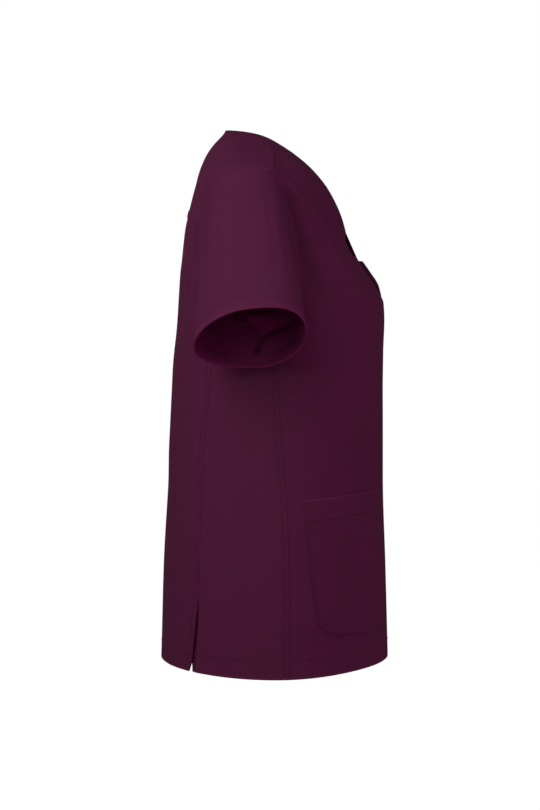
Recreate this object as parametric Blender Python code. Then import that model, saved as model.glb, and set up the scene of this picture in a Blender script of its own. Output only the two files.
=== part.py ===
"""Short-sleeved scrub top with a lapped V neck, a back yoke, side panels, vents and two patch pockets.

The garment keeps the hollow form it has when it is worn. +Z is up, the wearer faces -Y and the
wearer's right side is at -X. The origin lies midway between the two high shoulder points, where
the wearer carries the garment. All the lengths below are in millimetres and all the angles in degrees.

The cloth lies on one form. A point of it has an angle, 0 at the centre front, 90 at the widest point
of the side and 180 at the centre back, and a height, 0 at the high shoulder points and negative below.
"""

import bpy
import numpy as np

MILLIMETRE = 0.001

# Cloth ---------------------------------------------------------------------------------------------
CLOTH = 1.4                 # wall of a single panel with its seam turnings
DOUBLED = 1.6               # wall of the doubled neck band
TURNED_HEM = 2.6            # wall of a turned hem
SEAM_GAP = 0.3              # between two pieces that are sewn edge to edge
PATCH_GAP = 0.5             # between a patch and the panel that it is sewn on
STEP_ROW = 1.0              # height over which a turned hem thins to a single wall

# Body ----------------------------------------------------------------------------------------------
HEM_HEIGHT = -641.5
HEM_SIDE_DROP = 5.5         # how much lower the hem hangs at the sides
HEM_SIDE_SHARPNESS = 4      # how narrowly that drop keeps to the sides
BODY_HEM_DEPTH = 22.0

# Sections of the form. Side, front and back are distances forward or back of the neck points.
FORM_COLUMNS = ("height", "half_width", "side", "front", "back", "front_fullness", "back_fullness")
FORM = np.array((
    (0.0, 85.0, 0.0, 66.5, 3.0, 0.00, 0.00),
    (-5.0, 98.0, 4.5, 72.0, 9.5, 0.00, 0.00),
    (-14.0, 119.0, 9.5, 79.0, 18.0, 0.00, 0.01),
    (-27.0, 146.0, 15.5, 93.0, 26.3, 0.00, 0.02),
    (-42.0, 170.0, 22.5, 108.5, 32.0, 0.00, 0.03),
    (-57.0, 190.0, 30.0, 120.5, 36.5, 0.00, 0.04),
    (-66.0, 194.0, 31.0, 127.0, 39.0, 0.00, 0.05),
    (-80.0, 191.0, 31.5, 135.0, 42.5, 0.00, 0.06),
    (-100.0, 182.0, 31.8, 144.0, 46.6, 0.00, 0.08),
    (-125.0, 174.5, 32.5, 152.5, 50.6, 0.00, 0.10),
    (-150.0, 171.8, 33.5, 162.5, 54.0, 0.00, 0.10),
    (-168.0, 172.5, 35.0, 174.0, 56.2, 0.00, 0.10),
    (-188.0, 174.0, 37.5, 187.0, 58.0, 0.00, 0.09),
    (-205.0, 176.0, 40.5, 195.2, 59.4, 0.01, 0.08),
    (-225.0, 178.5, 45.5, 196.2, 61.0, 0.01, 0.07),
    (-265.0, 182.5, 54.5, 194.8, 64.2, 0.01, 0.06),
    (-320.0, 186.0, 60.5, 194.2, 67.2, 0.01, 0.05),
    (-420.0, 190.5, 61.5, 194.2, 72.8, 0.01, 0.04),
    (-530.0, 196.0, 61.5, 197.5, 79.3, 0.00, 0.03),
    (-650.0, 200.0, 60.5, 200.4, 82.2, 0.00, 0.02),
))

# Soft folds: a trough has a negative depth. The wearer's left has positive angles.
MM_PER_DEGREE = 3.0         # typical length of one degree around the form
FOLD_COLUMNS = ("start_angle", "start_height", "end_angle", "end_height", "depth", "width")
FOLDS = np.array((
    (-62.0, -205.0, -44.0, -275.0, -3.2, 26.0),
    (63.0, -200.0, 46.0, -290.0, -3.8, 24.0),
    (-52.0, -330.0, -50.0, -640.0, -2.4, 34.0),
    (46.0, -350.0, 52.0, -640.0, -3.0, 32.0),
    (-105.0, -330.0, -103.0, -600.0, -2.0, 30.0),
    (104.0, -300.0, 106.0, -620.0, -2.6, 30.0),
    (-146.0, -170.0, -152.0, -560.0, -3.4, 36.0),
    (143.0, -190.0, 150.0, -600.0, -4.2, 33.0),
    (172.0, -330.0, 176.0, -640.0, -2.2, 30.0),
    (-168.0, -250.0, -166.0, -420.0, 2.0, 26.0),
))

# Seams ---------------------------------------------------------------------------------------------
# The armhole runs from the side panel's front seam up the front, over the shoulder, down the back
# and under the arm.
ARMHOLE_COLUMNS = ("angle", "height")
ARMHOLE = np.array((
    (82.0, -215.0),
    (73.5, -203.0),
    (67.5, -188.0),
    (64.8, -170.0),
    (63.2, -146.0),
    (63.2, -118.0),
    (67.0, -90.0),
    (71.5, -75.0),
    (76.5, -65.0),
    (83.0, -59.0),
    (90.0, -57.0),
    (100.0, -58.8),
    (108.5, -62.5),
    (117.0, -69.0),
    (123.3, -80.0),
    (125.3, -100.0),
    (124.8, -121.0),
    (124.0, -145.0),
    (122.0, -172.0),
    (119.0, -193.0),
    (114.0, -210.0),
    (107.0, -219.0),
    (98.0, -223.0),
    (89.0, -220.5),
))
FRONT_SEAM_ROW = 0          # rows of the armhole where a seam meets it
SHOULDER_SEAM_ROW = 8
YOKE_SEAM_ROW = 16
BACK_SEAM_ROW = 20

SIDE_SEAM_COLUMNS = ("height", "front_angle", "back_angle")
SIDE_SEAMS = np.array((
    (-210.0, 81.0, 114.0),
    (-235.0, 86.0, 117.5),
    (-265.0, 89.5, 118.7),
    (-325.0, 91.3, 121.7),
    (-380.0, 90.2, 124.6),
    (-442.0, 88.5, 125.4),
    (-510.0, 86.9, 126.0),
    (-570.0, 86.6, 127.0),
    (-630.0, 86.5, 128.4),
    (-650.0, 86.5, 131.0),
))

YOKE_CENTRE_HEIGHT = -103.0
YOKE_CURVE = 2.2            # how late the yoke seam drops towards the armhole
YOKE_CORNER_SHARE = 0.55    # where the yoke's outer corner is joined to the neck line
SHOULDER_SEAM_NECK_HEIGHT = -17.0
SHOULDER_LINE_EDGE_HEIGHT = -8.0    # where the same line meets the free edge of the neck band

# Neck ----------------------------------------------------------------------------------------------
NECK_LINE_COLUMNS = ("half_width", "ridge_height", "front_height", "back_height")
NECK_EDGE = (85.0, 0.0, -154.0, -32.7)
NECK_SEAM = (105.0, -8.0, -196.0, -54.7)
BACK_NECK_ROUNDNESS = 2.6
LAP_TIP = (-7.3, -174.6)    # how far across, and how low, the free edge runs past the centre
LAP_STEP = 1.5              # length over which the upper end climbs onto the lower one
LAP_TURNING = 1.6           # thickness that the turned-under end adds to the upper end
GAPE = 3.2                  # how far the upper end's free edge stands off above the lap
GAPE_HEIGHTS = (-30.0, -95.0, -128.0, -152.0)   # where it starts, is widest and is closed again

# Sleeve --------------------------------------------------------------------------------------------
CUFF_CENTRE = (247.5, 30.3, -257.0)     # outward, forward, height
CUFF_UP = (0.831, 0.0, 0.556)           # direction of the opening's upper edge
CUFF_FORWARD = (0.0, 1.0, 0.070)        # direction of its front edge
SLEEVE_AXIS = (0.556, 0.0, -0.831)
# Outline of the opening from its lowest point forwards, up and round the back.
CUFF_COLUMNS = ("forward", "up")
CUFF = np.array((
    (-3.0, -55.5),
    (19.0, -56.2),
    (37.0, -48.0),
    (54.0, -31.0),
    (62.0, -8.0),
    (63.0, 13.0),
    (58.0, 33.0),
    (44.0, 49.5),
    (22.0, 56.5),
    (-10.0, 55.0),
    (-34.0, 43.0),
    (-52.0, 23.5),
    (-62.0, -2.0),
    (-59.0, -25.0),
    (-43.0, -41.5),
    (-24.0, -51.0),
))
SLEEVE_HEM_DEPTH = 20.0
CAP_PUSH = 0.8              # how strongly the cap leaves the armhole, as a share of its length
CUFF_PUSH = 0.7
CAP_TURN = 0.25             # how far the cap follows the body round the front and the back

# Pocket --------------------------------------------------------------------------------------------
POCKET_INNER = 54.0         # distances round the front from its centre
POCKET_OUTER_TOP = 229.0
POCKET_OUTER_FOOT = 216.0
POCKET_TOP_INNER = -429.5
POCKET_TOP_OUTER = -441.5
POCKET_FOOT_INNER = -604.5
POCKET_FOOT_OUTER = -600.0
POCKET_CORNER = 28.0
POCKET_FULLNESS = 1.6       # how far the middle of the pocket stands off the front

# Vent ----------------------------------------------------------------------------------------------
VENT_TOP = -558.0
VENT_SPREAD = 10.5          # opening of the vent at the hem
VENT_ROUNDING = 0.8         # how soon the vent opens below its top
VENT_FACING_TOP = -552.0
VENT_FACING_FOOT = -633.0
VENT_FACING_COVER = 9.0     # how far the facing lies behind the side panel
VENT_FACING_REACH = 16.0    # how far it shows past the side panel's edge

# Fineness of the pieces, in cells ------------------------------------------------------------------
SEAM_ROWS = 15
FRONT_ARMHOLE_CELLS = 11
YOKE_ARMHOLE_CELLS = 11
BACK_ARMHOLE_CELLS = 7
UNDERARM_CELLS = 7
FRONT_NECK_CELLS = 8
SHOULDER_CELLS = 5
BACK_CELLS = 18
YOKE_ACROSS_CELLS = 5
SLEEVE_CELLS = 8
BAND_ACROSS_CELLS = 3
POCKET_CELLS = (12, 9)
CORNER_CELLS = 4
DENSE = 400

BURGUNDY = (0.058, 0.0105, 0.0285, 1.0)
BURGUNDY_DEEP = (0.045, 0.008, 0.022, 1.0)
CLOTH_ROUGHNESS = 0.72


# Curves and tables ---------------------------------------------------------------------------------
def monotone_tangents(knots, values):
    """Slopes at the knots that keep a cubic curve from overshooting its rows."""
    steps = np.diff(knots)
    slopes = np.diff(values) / steps
    tangents = np.empty_like(values)
    tangents[0], tangents[-1] = slopes[0], slopes[-1]
    before, after = slopes[:-1], slopes[1:]
    weight_before = 2.0 * steps[1:] + steps[:-1]
    weight_after = steps[1:] + 2.0 * steps[:-1]
    same_way = before * after > 0.0
    safe_before = np.where(same_way, before, 1.0)
    safe_after = np.where(same_way, after, 1.0)
    mean = (weight_before + weight_after) / (weight_before / safe_before + weight_after / safe_after)
    tangents[1:-1] = np.where(same_way, mean, 0.0)
    return tangents


def read_table(knots, values, at):
    """Smooth value of one column at the given places."""
    order = np.argsort(knots)
    knots, values = knots[order], values[order]
    tangents = monotone_tangents(knots, values)
    at = np.clip(at, knots[0], knots[-1])
    cell = np.clip(np.searchsorted(knots, at) - 1, 0, len(knots) - 2)
    step = knots[cell + 1] - knots[cell]
    t = (at - knots[cell]) / step
    return ((2 * t**3 - 3 * t**2 + 1) * values[cell] + (t**3 - 2 * t**2 + t) * step * tangents[cell]
            + (3 * t**2 - 2 * t**3) * values[cell + 1] + (t**3 - t**2) * step * tangents[cell + 1])


def form_column(name, height):
    return read_table(FORM[:, 0], FORM[:, FORM_COLUMNS.index(name)], height)


def side_seam(name, height):
    return read_table(SIDE_SEAMS[:, 0], SIDE_SEAMS[:, SIDE_SEAM_COLUMNS.index(name)], height)


def smooth_step(t):
    t = np.clip(t, 0.0, 1.0)
    return t * t * (3.0 - 2.0 * t)


def closed_curve(rows, place):
    """Smooth closed curve through the rows of a table; place counts rows from the first one."""
    count = len(rows)
    cell = np.floor(place).astype(int)
    t = (place - cell)[:, None]
    before, start, end, after = (rows[(cell + shift) % count] for shift in (-1, 0, 1, 2))
    return 0.5 * (2 * start + (end - before) * t + (2 * before - 5 * start + 4 * end - after) * t**2
                  + (3 * start - before - 3 * end + after) * t**3)


# Form ----------------------------------------------------------------------------------------------
def section_across(angle, fullness):
    return (np.sin(angle) + fullness * np.sin(3.0 * angle)) / (1.0 - fullness)


def section_along(angle, fullness):
    return (np.cos(angle) - fullness * np.cos(3.0 * angle)) / (1.0 - fullness)


def plain_form(angle, height):
    """Point of the form without its folds: half an oval in front and another behind."""
    turn = np.radians(np.abs(angle))
    behind = turn > np.pi / 2.0
    fullness = np.where(behind, form_column("back_fullness", height), form_column("front_fullness", height))
    turn = np.where(behind, np.pi - turn, turn)
    side = form_column("side", height)
    reach = np.where(behind, -form_column("back", height) - side, form_column("front", height) - side)
    across = np.sign(angle) * form_column("half_width", height) * section_across(turn, fullness)
    forward = side + reach * section_along(turn, fullness)
    return np.stack((across, -forward, height), axis=-1)


def form_normal(angle, height):
    """Outward direction of the form."""
    nudge_angle, nudge_height = 0.4, 0.4
    around = plain_form(angle + nudge_angle, height) - plain_form(angle - nudge_angle, height)
    upward = plain_form(angle, height + nudge_height) - plain_form(angle, height - nudge_height)
    normal = np.cross(around, upward)
    return normal / np.linalg.norm(normal, axis=-1, keepdims=True)


def fold_depth(angle, height):
    """Sum of the soft folds: a bell across each fold that dies away at both of its ends."""
    total = np.zeros_like(angle)
    for start_angle, start_height, end_angle, end_height, depth, width in FOLDS:
        run = np.array(((end_angle - start_angle) * MM_PER_DEGREE, end_height - start_height))
        length = np.hypot(*run)
        along = ((angle - start_angle) * MM_PER_DEGREE * run[0] + (height - start_height) * run[1]) / length
        aside = ((angle - start_angle) * MM_PER_DEGREE * run[1] - (height - start_height) * run[0]) / length
        share = along / length
        taper = smooth_step(share / 0.35 + 0.3) * smooth_step((1.0 - share) / 0.35 + 0.3)
        total = total + depth * taper * np.exp(-(aside / width) ** 2)
    return total


def on_form(angle, height, stand_off=0.0):
    """Point of the folded form, moved out by stand_off."""
    angle, height = np.broadcast_arrays(np.asarray(angle, float), np.asarray(height, float))
    rise = fold_depth(angle, height) + stand_off
    return plain_form(angle, height) + form_normal(angle, height) * np.asarray(rise)[..., None]


def angle_across(across, height, behind):
    """Angle at which the form is this far across, found by halving."""
    name = "back_fullness" if behind else "front_fullness"
    fullness = form_column(name, height)
    share = np.clip(np.abs(across) / form_column("half_width", height), 0.0, 1.0)
    low, high = np.zeros_like(share), np.full_like(share, np.pi / 2.0)
    for _ in range(40):
        middle = 0.5 * (low + high)
        inside = section_across(middle, fullness) < share
        low, high = np.where(inside, middle, low), np.where(inside, high, middle)
    turn = np.degrees(low)
    turn = 180.0 - turn if behind else turn
    return np.where(across < 0.0, -turn, turn)


def even_steps(angle, height, cells):
    """The same line on the form with its points evenly spaced along it."""
    points = plain_form(angle, height)
    along = np.concatenate(((0.0,), np.cumsum(np.linalg.norm(np.diff(points, axis=0), axis=1))))
    even = np.linspace(0.0, along[-1], cells + 1)
    return np.interp(even, along, angle), np.interp(even, along, height)


# Seam lines ----------------------------------------------------------------------------------------
def armhole_arc(first_row, last_row, cells):
    """Stretch of the armhole between two of its rows, evenly spaced."""
    angle, height = closed_curve(ARMHOLE, np.linspace(first_row, last_row, DENSE)).T
    return even_steps(angle, height, cells)


def neck_line(half_width, ridge_height, front_height, back_height, past_centre=()):
    """Left half of a line round the neck, from the centre back over the shoulder to the centre front.

    It may run on straight to a point past the centre, given as its distance across and its height.
    """
    across = half_width * np.sin(np.linspace(0.0, np.pi / 2.0, DENSE))
    drop = 1.0 - (across / half_width) ** BACK_NECK_ROUNDNESS
    back_z = ridge_height + (back_height - ridge_height) * drop
    back_angle = angle_across(across, back_z, True)
    share = np.linspace(0.0, 1.0, DENSE)[1:] ** 1.6
    front_z = np.append(ridge_height + (front_height - ridge_height) * share, past_centre[1:])
    front_angle = angle_across(np.append(half_width * (1.0 - share), past_centre[:1]), front_z, False)
    return np.concatenate((back_angle, front_angle)), np.concatenate((back_z, front_z))


def cut_line(line, cut_height):
    """A line round the neck cut in front of the shoulder, where it reaches the given height."""
    angle, height = line
    cut = DENSE + int(np.argmin(np.abs(height[DENSE:] - cut_height)))
    return (angle[:cut + 1], height[:cut + 1]), (angle[cut:], height[cut:])


def back_run(line):
    """The part of a neck line behind the shoulder seam, with a point for each column of the yoke."""
    split = int(DENSE * YOKE_CORNER_SHARE)
    seam = even_steps(line[0][:split + 1], line[1][:split + 1], BACK_CELLS // 2)
    arm = even_steps(line[0][split:], line[1][split:], YOKE_ARMHOLE_CELLS)
    return tuple(np.concatenate((a, b[1:])) for a, b in zip(seam, arm))


def hem_height(angle):
    return HEM_HEIGHT - HEM_SIDE_DROP * np.sin(np.radians(angle)) ** HEM_SIDE_SHARPNESS


def seam_shares():
    """Shares of the height of a side seam, with two rows that step down from the turned hem."""
    reach = -215.0 - HEM_HEIGHT
    hem = BODY_HEM_DEPTH / reach
    return np.concatenate(((0.0, hem), np.linspace(hem + STEP_ROW / reach, 1.0, SEAM_ROWS)))


def panel_side(seam_name, top_angle, top_height, arc_angle, arc_height):
    """Side edge of a panel: up the side seam, then up the armhole."""
    foot = hem_height(side_seam(seam_name, HEM_HEIGHT))
    heights = foot + seam_shares() * (top_height - foot)
    angles = side_seam(seam_name, heights)
    blend = smooth_step((heights - top_height + 40.0) / 40.0)
    angles = angles + (top_angle - side_seam(seam_name, top_height)) * blend
    return np.concatenate((angles, arc_angle[1:])), np.concatenate((heights, arc_height[1:]))


# Meshes --------------------------------------------------------------------------------------------
def cloth_material(name, colour):
    material = bpy.data.materials.new(name)
    material.use_nodes = True
    shader = material.node_tree.nodes["Principled BSDF"]
    shader.inputs["Base Color"].default_value = colour
    shader.inputs["Roughness"].default_value = CLOTH_ROUGHNESS
    shader.inputs["Metallic"].default_value = 0.0
    return material


def cell_triangles(points, wrap):
    """Two triangles in each cell of a grid of points, split along the cell's shorter diagonal."""
    rows, columns = points.shape[:2]
    row, column = np.meshgrid(np.arange(rows - 1), np.arange(columns if wrap else columns - 1), indexing="ij")
    a = row * columns + column
    b = row * columns + (column + 1) % columns
    c, d = b + columns, a + columns
    flat = points.reshape(-1, 3)
    straight = np.linalg.norm(flat[c] - flat[a], axis=-1) <= np.linalg.norm(flat[d] - flat[b], axis=-1)
    first = np.where(straight[..., None], np.stack((a, b, c), axis=-1), np.stack((a, b, d), axis=-1))
    second = np.where(straight[..., None], np.stack((a, c, d), axis=-1), np.stack((b, c, d), axis=-1))
    return np.concatenate((first.reshape(-1, 3), second.reshape(-1, 3)))


def rim_triangles(border, shift):
    """Triangles that join a run of outer points to the inner points below them."""
    start, end = border[:-1], border[1:]
    return np.concatenate((np.stack((start, start + shift, end + shift), axis=-1),
                           np.stack((start, end + shift, end), axis=-1)))


def enclosed_volume(points, triangles):
    """Volume inside the triangles, negative where they face inwards."""
    a, b, c = (points[triangles[:, corner]] for corner in range(3))
    return np.sum(a * np.cross(b, c)) / 6.0


def wall(name, outer, inner, colour, wrap=False):
    """Closed cloth wall between an outer and an inner grid of points."""
    rows, columns = outer.shape[:2]
    count = rows * columns
    index = np.arange(count).reshape(rows, columns)
    cells = cell_triangles(outer, wrap)
    faces = [cells, cells[:, ::-1] + count]
    if wrap:
        rings = (index[0], index[-1][::-1])
        faces += [rim_triangles(np.append(ring, ring[0]), count) for ring in rings]
    else:
        border = np.concatenate((index[0], index[1:, -1], index[-1, -2::-1], index[-2::-1, 0]))
        faces.append(rim_triangles(border, count))
    points = np.concatenate((outer.reshape(-1, 3), inner.reshape(-1, 3))) * MILLIMETRE
    triangles = np.concatenate(faces)
    if enclosed_volume(points, triangles) < 0.0:
        triangles = triangles[:, ::-1]
    mesh = bpy.data.meshes.new(name)
    mesh.from_pydata(points.tolist(), [], triangles.tolist())
    mesh.shade_smooth()
    mesh.set_sharp_from_angle(angle=np.radians(40.0))
    piece = bpy.data.objects.new(name, mesh)
    bpy.context.collection.objects.link(piece)
    piece.data.materials.append(cloth_material(name + "_cloth", colour))
    return piece


def draw_in(points, by, edges):
    """The grid with the named edges moved in, to leave room for the seam."""
    points = points.copy()
    for edge in edges:
        border, next_row = {
            "first_row": (np.s_[0], np.s_[1]),
            "last_row": (np.s_[-1], np.s_[-2]),
            "first_column": (np.s_[:, 0], np.s_[:, 1]),
            "last_column": (np.s_[:, -1], np.s_[:, -2]),
        }[edge]
        inward = points[next_row] - points[border]
        along = np.gradient(points[border], axis=0)
        along = along / np.linalg.norm(along, axis=-1, keepdims=True)
        inward = inward - along * np.sum(inward * along, axis=-1, keepdims=True)
        points[border] += inward * (by / np.linalg.norm(inward, axis=-1, keepdims=True))
    return points


ALL_EDGES = ("first_row", "last_row", "first_column", "last_column")
SEWN_EDGES = ("last_row", "first_column", "last_column")


def panel_wall(name, angle, height, colour, thickness=CLOTH, stand_off=0.0, edges=SEWN_EDGES):
    """Wall on the form over a grid of angles and heights."""
    thickness = np.broadcast_to(np.asarray(thickness, float), angle.shape)
    outer = on_form(angle, height, stand_off)
    inner = on_form(angle, height, stand_off - thickness)
    outer = draw_in(outer, SEAM_GAP / 2.0, edges)
    inner = draw_in(inner, SEAM_GAP / 2.0, edges)
    return wall(name, outer, inner, colour)


def hem_walls(shape):
    """Wall thickness of a panel whose first two rows are a turned hem."""
    thickness = np.full(shape, CLOTH)
    thickness[:2] = TURNED_HEM
    return thickness


# Pieces --------------------------------------------------------------------------------------------
def make_front():
    """Front: from the hem to the neck seam and the forward shoulder seams, in one piece."""
    arc_angle, arc_height = armhole_arc(FRONT_SEAM_ROW, SHOULDER_SEAM_ROW, FRONT_ARMHOLE_CELLS)
    side_angle, side_height = panel_side("front_angle", *ARMHOLE[FRONT_SEAM_ROW], arc_angle, arc_height)

    front_run = cut_line(neck_line(*NECK_SEAM), SHOULDER_SEAM_NECK_HEIGHT)[1]
    neck_angle, neck_height = even_steps(*front_run, FRONT_NECK_CELLS)
    shoulder = np.linspace(0.0, 1.0, SHOULDER_CELLS + 1)[:-1]
    half_angle = np.append(side_angle[-1] + (neck_angle[0] - side_angle[-1]) * shoulder, neck_angle)
    half_height = np.append(side_height[-1] + (neck_height[0] - side_height[-1]) * shoulder, neck_height)

    share = np.append(-half_angle, half_angle[-2::-1]) / side_angle[-1]
    top = np.append(half_height, half_height[-2::-1])
    angle = share * side_angle[:, None]
    return hemmed_panel("front", angle, top, side_height)


def hemmed_panel(name, angle, top, side_height):
    """Front or back, whose rows are spread between the hem and the top edge as its side edge's are."""
    rise = ((side_height - side_height[0]) / (side_height[-1] - side_height[0]))[:, None]
    foot = hem_height(angle[0])
    return panel_wall(name, angle, foot + (top - foot) * rise, BURGUNDY, hem_walls(angle.shape))


def make_back():
    """Back: from the hem to the yoke seam, with the vents opening at its lower corners."""
    arc_angle, arc_height = armhole_arc(BACK_SEAM_ROW, YOKE_SEAM_ROW, BACK_ARMHOLE_CELLS)
    side_angle, side_height = panel_side("back_angle", *ARMHOLE[BACK_SEAM_ROW], arc_angle, arc_height)
    side_angle = side_angle + vent_spread(side_height) / MM_PER_DEGREE
    share = yoke_seam_shares(BACK_CELLS)
    from_centre = share * (180.0 - side_angle[:, None])
    angle = np.where(from_centre < 0.0, -180.0 - from_centre, 180.0 - from_centre)
    return hemmed_panel("back", angle, yoke_seam_height(np.abs(share)), side_height)


def yoke_seam_shares(cells):
    """Shares of the half width of the back, closer together near the armholes."""
    return np.sin(np.linspace(-0.4, 0.4, cells + 1) * np.pi) / np.sin(0.4 * np.pi)


def vent_spread(height):
    """How far the back's edge stands away from the side panel's edge."""
    return VENT_SPREAD * np.clip((VENT_TOP - height) / (VENT_TOP - HEM_HEIGHT), 0.0, 1.0) ** VENT_ROUNDING


def yoke_seam_height(share):
    drop = ARMHOLE[YOKE_SEAM_ROW][1] - YOKE_CENTRE_HEIGHT
    return YOKE_CENTRE_HEIGHT + drop * share ** YOKE_CURVE


def make_yoke():
    """Back yoke, which runs over both shoulders to the forward shoulder seams."""
    inner = back_run(cut_line(neck_line(*NECK_SEAM), SHOULDER_SEAM_NECK_HEIGHT)[0])
    share = yoke_seam_shares(BACK_CELLS)[BACK_CELLS // 2:]
    seam_angle = 180.0 - share * (180.0 - ARMHOLE[YOKE_SEAM_ROW][0])
    arm_angle, arm_height = armhole_arc(SHOULDER_SEAM_ROW, YOKE_SEAM_ROW, YOKE_ARMHOLE_CELLS)
    outer = np.append(seam_angle, arm_angle[-2::-1]), np.append(yoke_seam_height(share), arm_height[-2::-1])

    across = np.linspace(0.0, 1.0, YOKE_ACROSS_CELLS + 1)[:, None]
    angle, height = (rim + (neck - rim) * across for rim, neck in zip(outer, inner))
    angle, height = both_sides(angle, height)
    return panel_wall("yoke", angle, height, BURGUNDY, edges=ALL_EDGES)


def both_sides(angle, *others):
    """A grid that starts at the centre back, with its mirror image put before it."""
    mirrored = np.concatenate((-angle[:, :0:-1], angle), axis=1)
    return (mirrored,) + tuple(np.concatenate((grid[:, :0:-1], grid), axis=1) for grid in others)


def make_side_panel(name, side):
    """Panel under the arm, between the front's seam and the back's seam."""
    arc_angle, arc_height = armhole_arc(BACK_SEAM_ROW, len(ARMHOLE), UNDERARM_CELLS)
    arc_angle, arc_height = arc_angle[::-1], arc_height[::-1]
    share = (arc_angle - arc_angle[0]) / (arc_angle[-1] - arc_angle[0])
    front_side = panel_side("front_angle", *ARMHOLE[FRONT_SEAM_ROW], arc_angle[:1], arc_height[:1])
    back_side = panel_side("back_angle", *ARMHOLE[BACK_SEAM_ROW], arc_angle[:1], arc_height[:1])
    angle = front_side[0][:, None] + (back_side[0] - front_side[0])[:, None] * share
    foot = hem_height(angle[0])
    height = foot + seam_shares()[:, None] * (arc_height - foot)
    return panel_wall(name, side * angle, height, BURGUNDY, hem_walls(angle.shape))


def armhole_ring():
    """Armhole seam from the middle of the underarm forwards, with the panels' own points."""
    stretches = (
        (FRONT_SEAM_ROW, SHOULDER_SEAM_ROW, FRONT_ARMHOLE_CELLS),
        (SHOULDER_SEAM_ROW, YOKE_SEAM_ROW, YOKE_ARMHOLE_CELLS),
        (YOKE_SEAM_ROW, BACK_SEAM_ROW, BACK_ARMHOLE_CELLS),
        (BACK_SEAM_ROW, len(ARMHOLE), UNDERARM_CELLS),
    )
    arcs = [armhole_arc(*stretch) for stretch in stretches]
    angle = np.concatenate([arc[0][:-1] for arc in arcs])
    height = np.concatenate([arc[1][:-1] for arc in arcs])
    return angle, height


def sleeve_rings(side):
    """Outer points of a sleeve, one ring in each row, from the armhole to the opening."""
    angle, height = armhole_ring()
    ring = on_form(side * angle, height)
    outward = np.array((side, 0.0, 0.0))
    ring = ring + outward * SEAM_GAP

    around = np.concatenate(((0.0,), np.cumsum(np.linalg.norm(np.diff(ring, axis=0), axis=1))))
    around = around / (around[-1] + np.linalg.norm(ring[0] - ring[-1]))
    lowest = around[np.argmin(ring[:, 2])]
    forward_up = closed_curve(CUFF, ((around - lowest) % 1.0) * len(CUFF))
    mirror = np.array((side, -1.0, 1.0))
    centre, up, ahead, axis = (np.array(v) * mirror for v in (CUFF_CENTRE, CUFF_UP, CUFF_FORWARD, SLEEVE_AXIS))
    cuff = centre + forward_up[:, :1] * ahead + forward_up[:, 1:] * up

    chord = cuff - ring
    length = np.linalg.norm(chord, axis=1, keepdims=True)
    normal = form_normal(side * angle, height)
    tangent = outward - normal * (normal @ outward)[:, None]
    leave = tangent * (1.0, CAP_TURN, 1.0) + axis
    leave = leave / np.linalg.norm(leave, axis=1, keepdims=True)
    rows = sleeve_shares(length.mean())[:, None, None]
    return ((2 * rows**3 - 3 * rows**2 + 1) * ring + (rows**3 - 2 * rows**2 + rows) * leave * length * CAP_PUSH
            + (3 * rows**2 - 2 * rows**3) * cuff + (rows**3 - rows**2) * axis * length * CUFF_PUSH)


def sleeve_shares(length):
    """Shares of the sleeve's length, with two rows that step down into the turned hem."""
    hem = 1.0 - SLEEVE_HEM_DEPTH / length
    return np.concatenate((np.linspace(0.0, hem - STEP_ROW / length, SLEEVE_CELLS + 1), (hem, 1.0)))


def make_sleeve(name, side):
    """Set-in short sleeve with a turned hem, open at both ends."""
    outer = sleeve_rings(side)
    around = np.roll(outer, -1, axis=1) - np.roll(outer, 1, axis=1)
    along = np.gradient(outer, axis=0)
    normal = np.cross(along, around) * side
    normal = normal / np.linalg.norm(normal, axis=-1, keepdims=True)
    thickness = np.full(len(outer), CLOTH)
    thickness[-2:] = TURNED_HEM
    inner = outer - normal * thickness[:, None, None]
    return wall(name, outer, inner, BURGUNDY, wrap=True)


def front_run_columns(line, lengths_before_end):
    """Points of the front run of a band edge: even steps down to the lap, then the lap's own columns."""
    angle, height = even_steps(*line, FRONT_NECK_CELLS)
    points = plain_form(angle, height)
    along = np.append(0.0, np.cumsum(np.linalg.norm(np.diff(points, axis=0), axis=1)))
    at = np.append(along[:-2], along[-1] - np.array(lengths_before_end))
    return np.interp(at, along, angle), np.interp(at, along, height)


def make_neck_band():
    """Doubled band round the neck; its left end lies over its right end at the point of the V."""
    edge_back, edge_front = cut_line(neck_line(*NECK_EDGE, LAP_TIP), SHOULDER_LINE_EDGE_HEIGHT)
    seam_back, seam_front = cut_line(neck_line(*NECK_SEAM), SHOULDER_SEAM_NECK_HEIGHT)
    seam_points = plain_form(*seam_front)
    lap = np.linalg.norm(np.diff(seam_points, axis=0), axis=1).sum() / FRONT_NECK_CELLS
    lap_columns = (lap + LAP_STEP, lap, lap / 2.0, 0.0)
    edge = [np.append(a, b[1:]) for a, b in zip(back_run(edge_back), front_run_columns(edge_front, lap_columns))]
    seam = [np.append(a, b[1:]) for a, b in zip(back_run(seam_back), front_run_columns(seam_front, lap_columns))]

    across = np.linspace(0.0, 1.0, BAND_ACROSS_CELLS + 1)[:, None]
    angle, height = (free + (sewn - free) * across for free, sewn in zip(edge, seam))
    start, widest, narrower, closed = GAPE_HEIGHTS
    gape = smooth_step((start - edge[1]) / (start - widest)) * smooth_step((edge[1] - closed) / (narrower - closed))
    over = GAPE * gape * (1.0 - across) ** 1.5 * (np.abs(edge[0]) < 89.0)
    in_lap = np.arange(angle.shape[1]) >= angle.shape[1] - len(lap_columns) + 1
    lap_wall = DOUBLED + LAP_TURNING
    over = np.where(in_lap, SEAM_GAP + lap_wall, over)
    thickness = np.broadcast_to(np.where(in_lap, lap_wall, DOUBLED), angle.shape)
    under = np.zeros_like(over)

    both_angle, both_height = both_sides(angle, height)
    stand_off = np.concatenate((under[:, :0:-1], over), axis=1)
    walls = np.concatenate((np.full_like(over, DOUBLED)[:, :0:-1], thickness), axis=1)
    return panel_wall("neck_band", both_angle, both_height, BURGUNDY, walls, stand_off)


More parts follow.
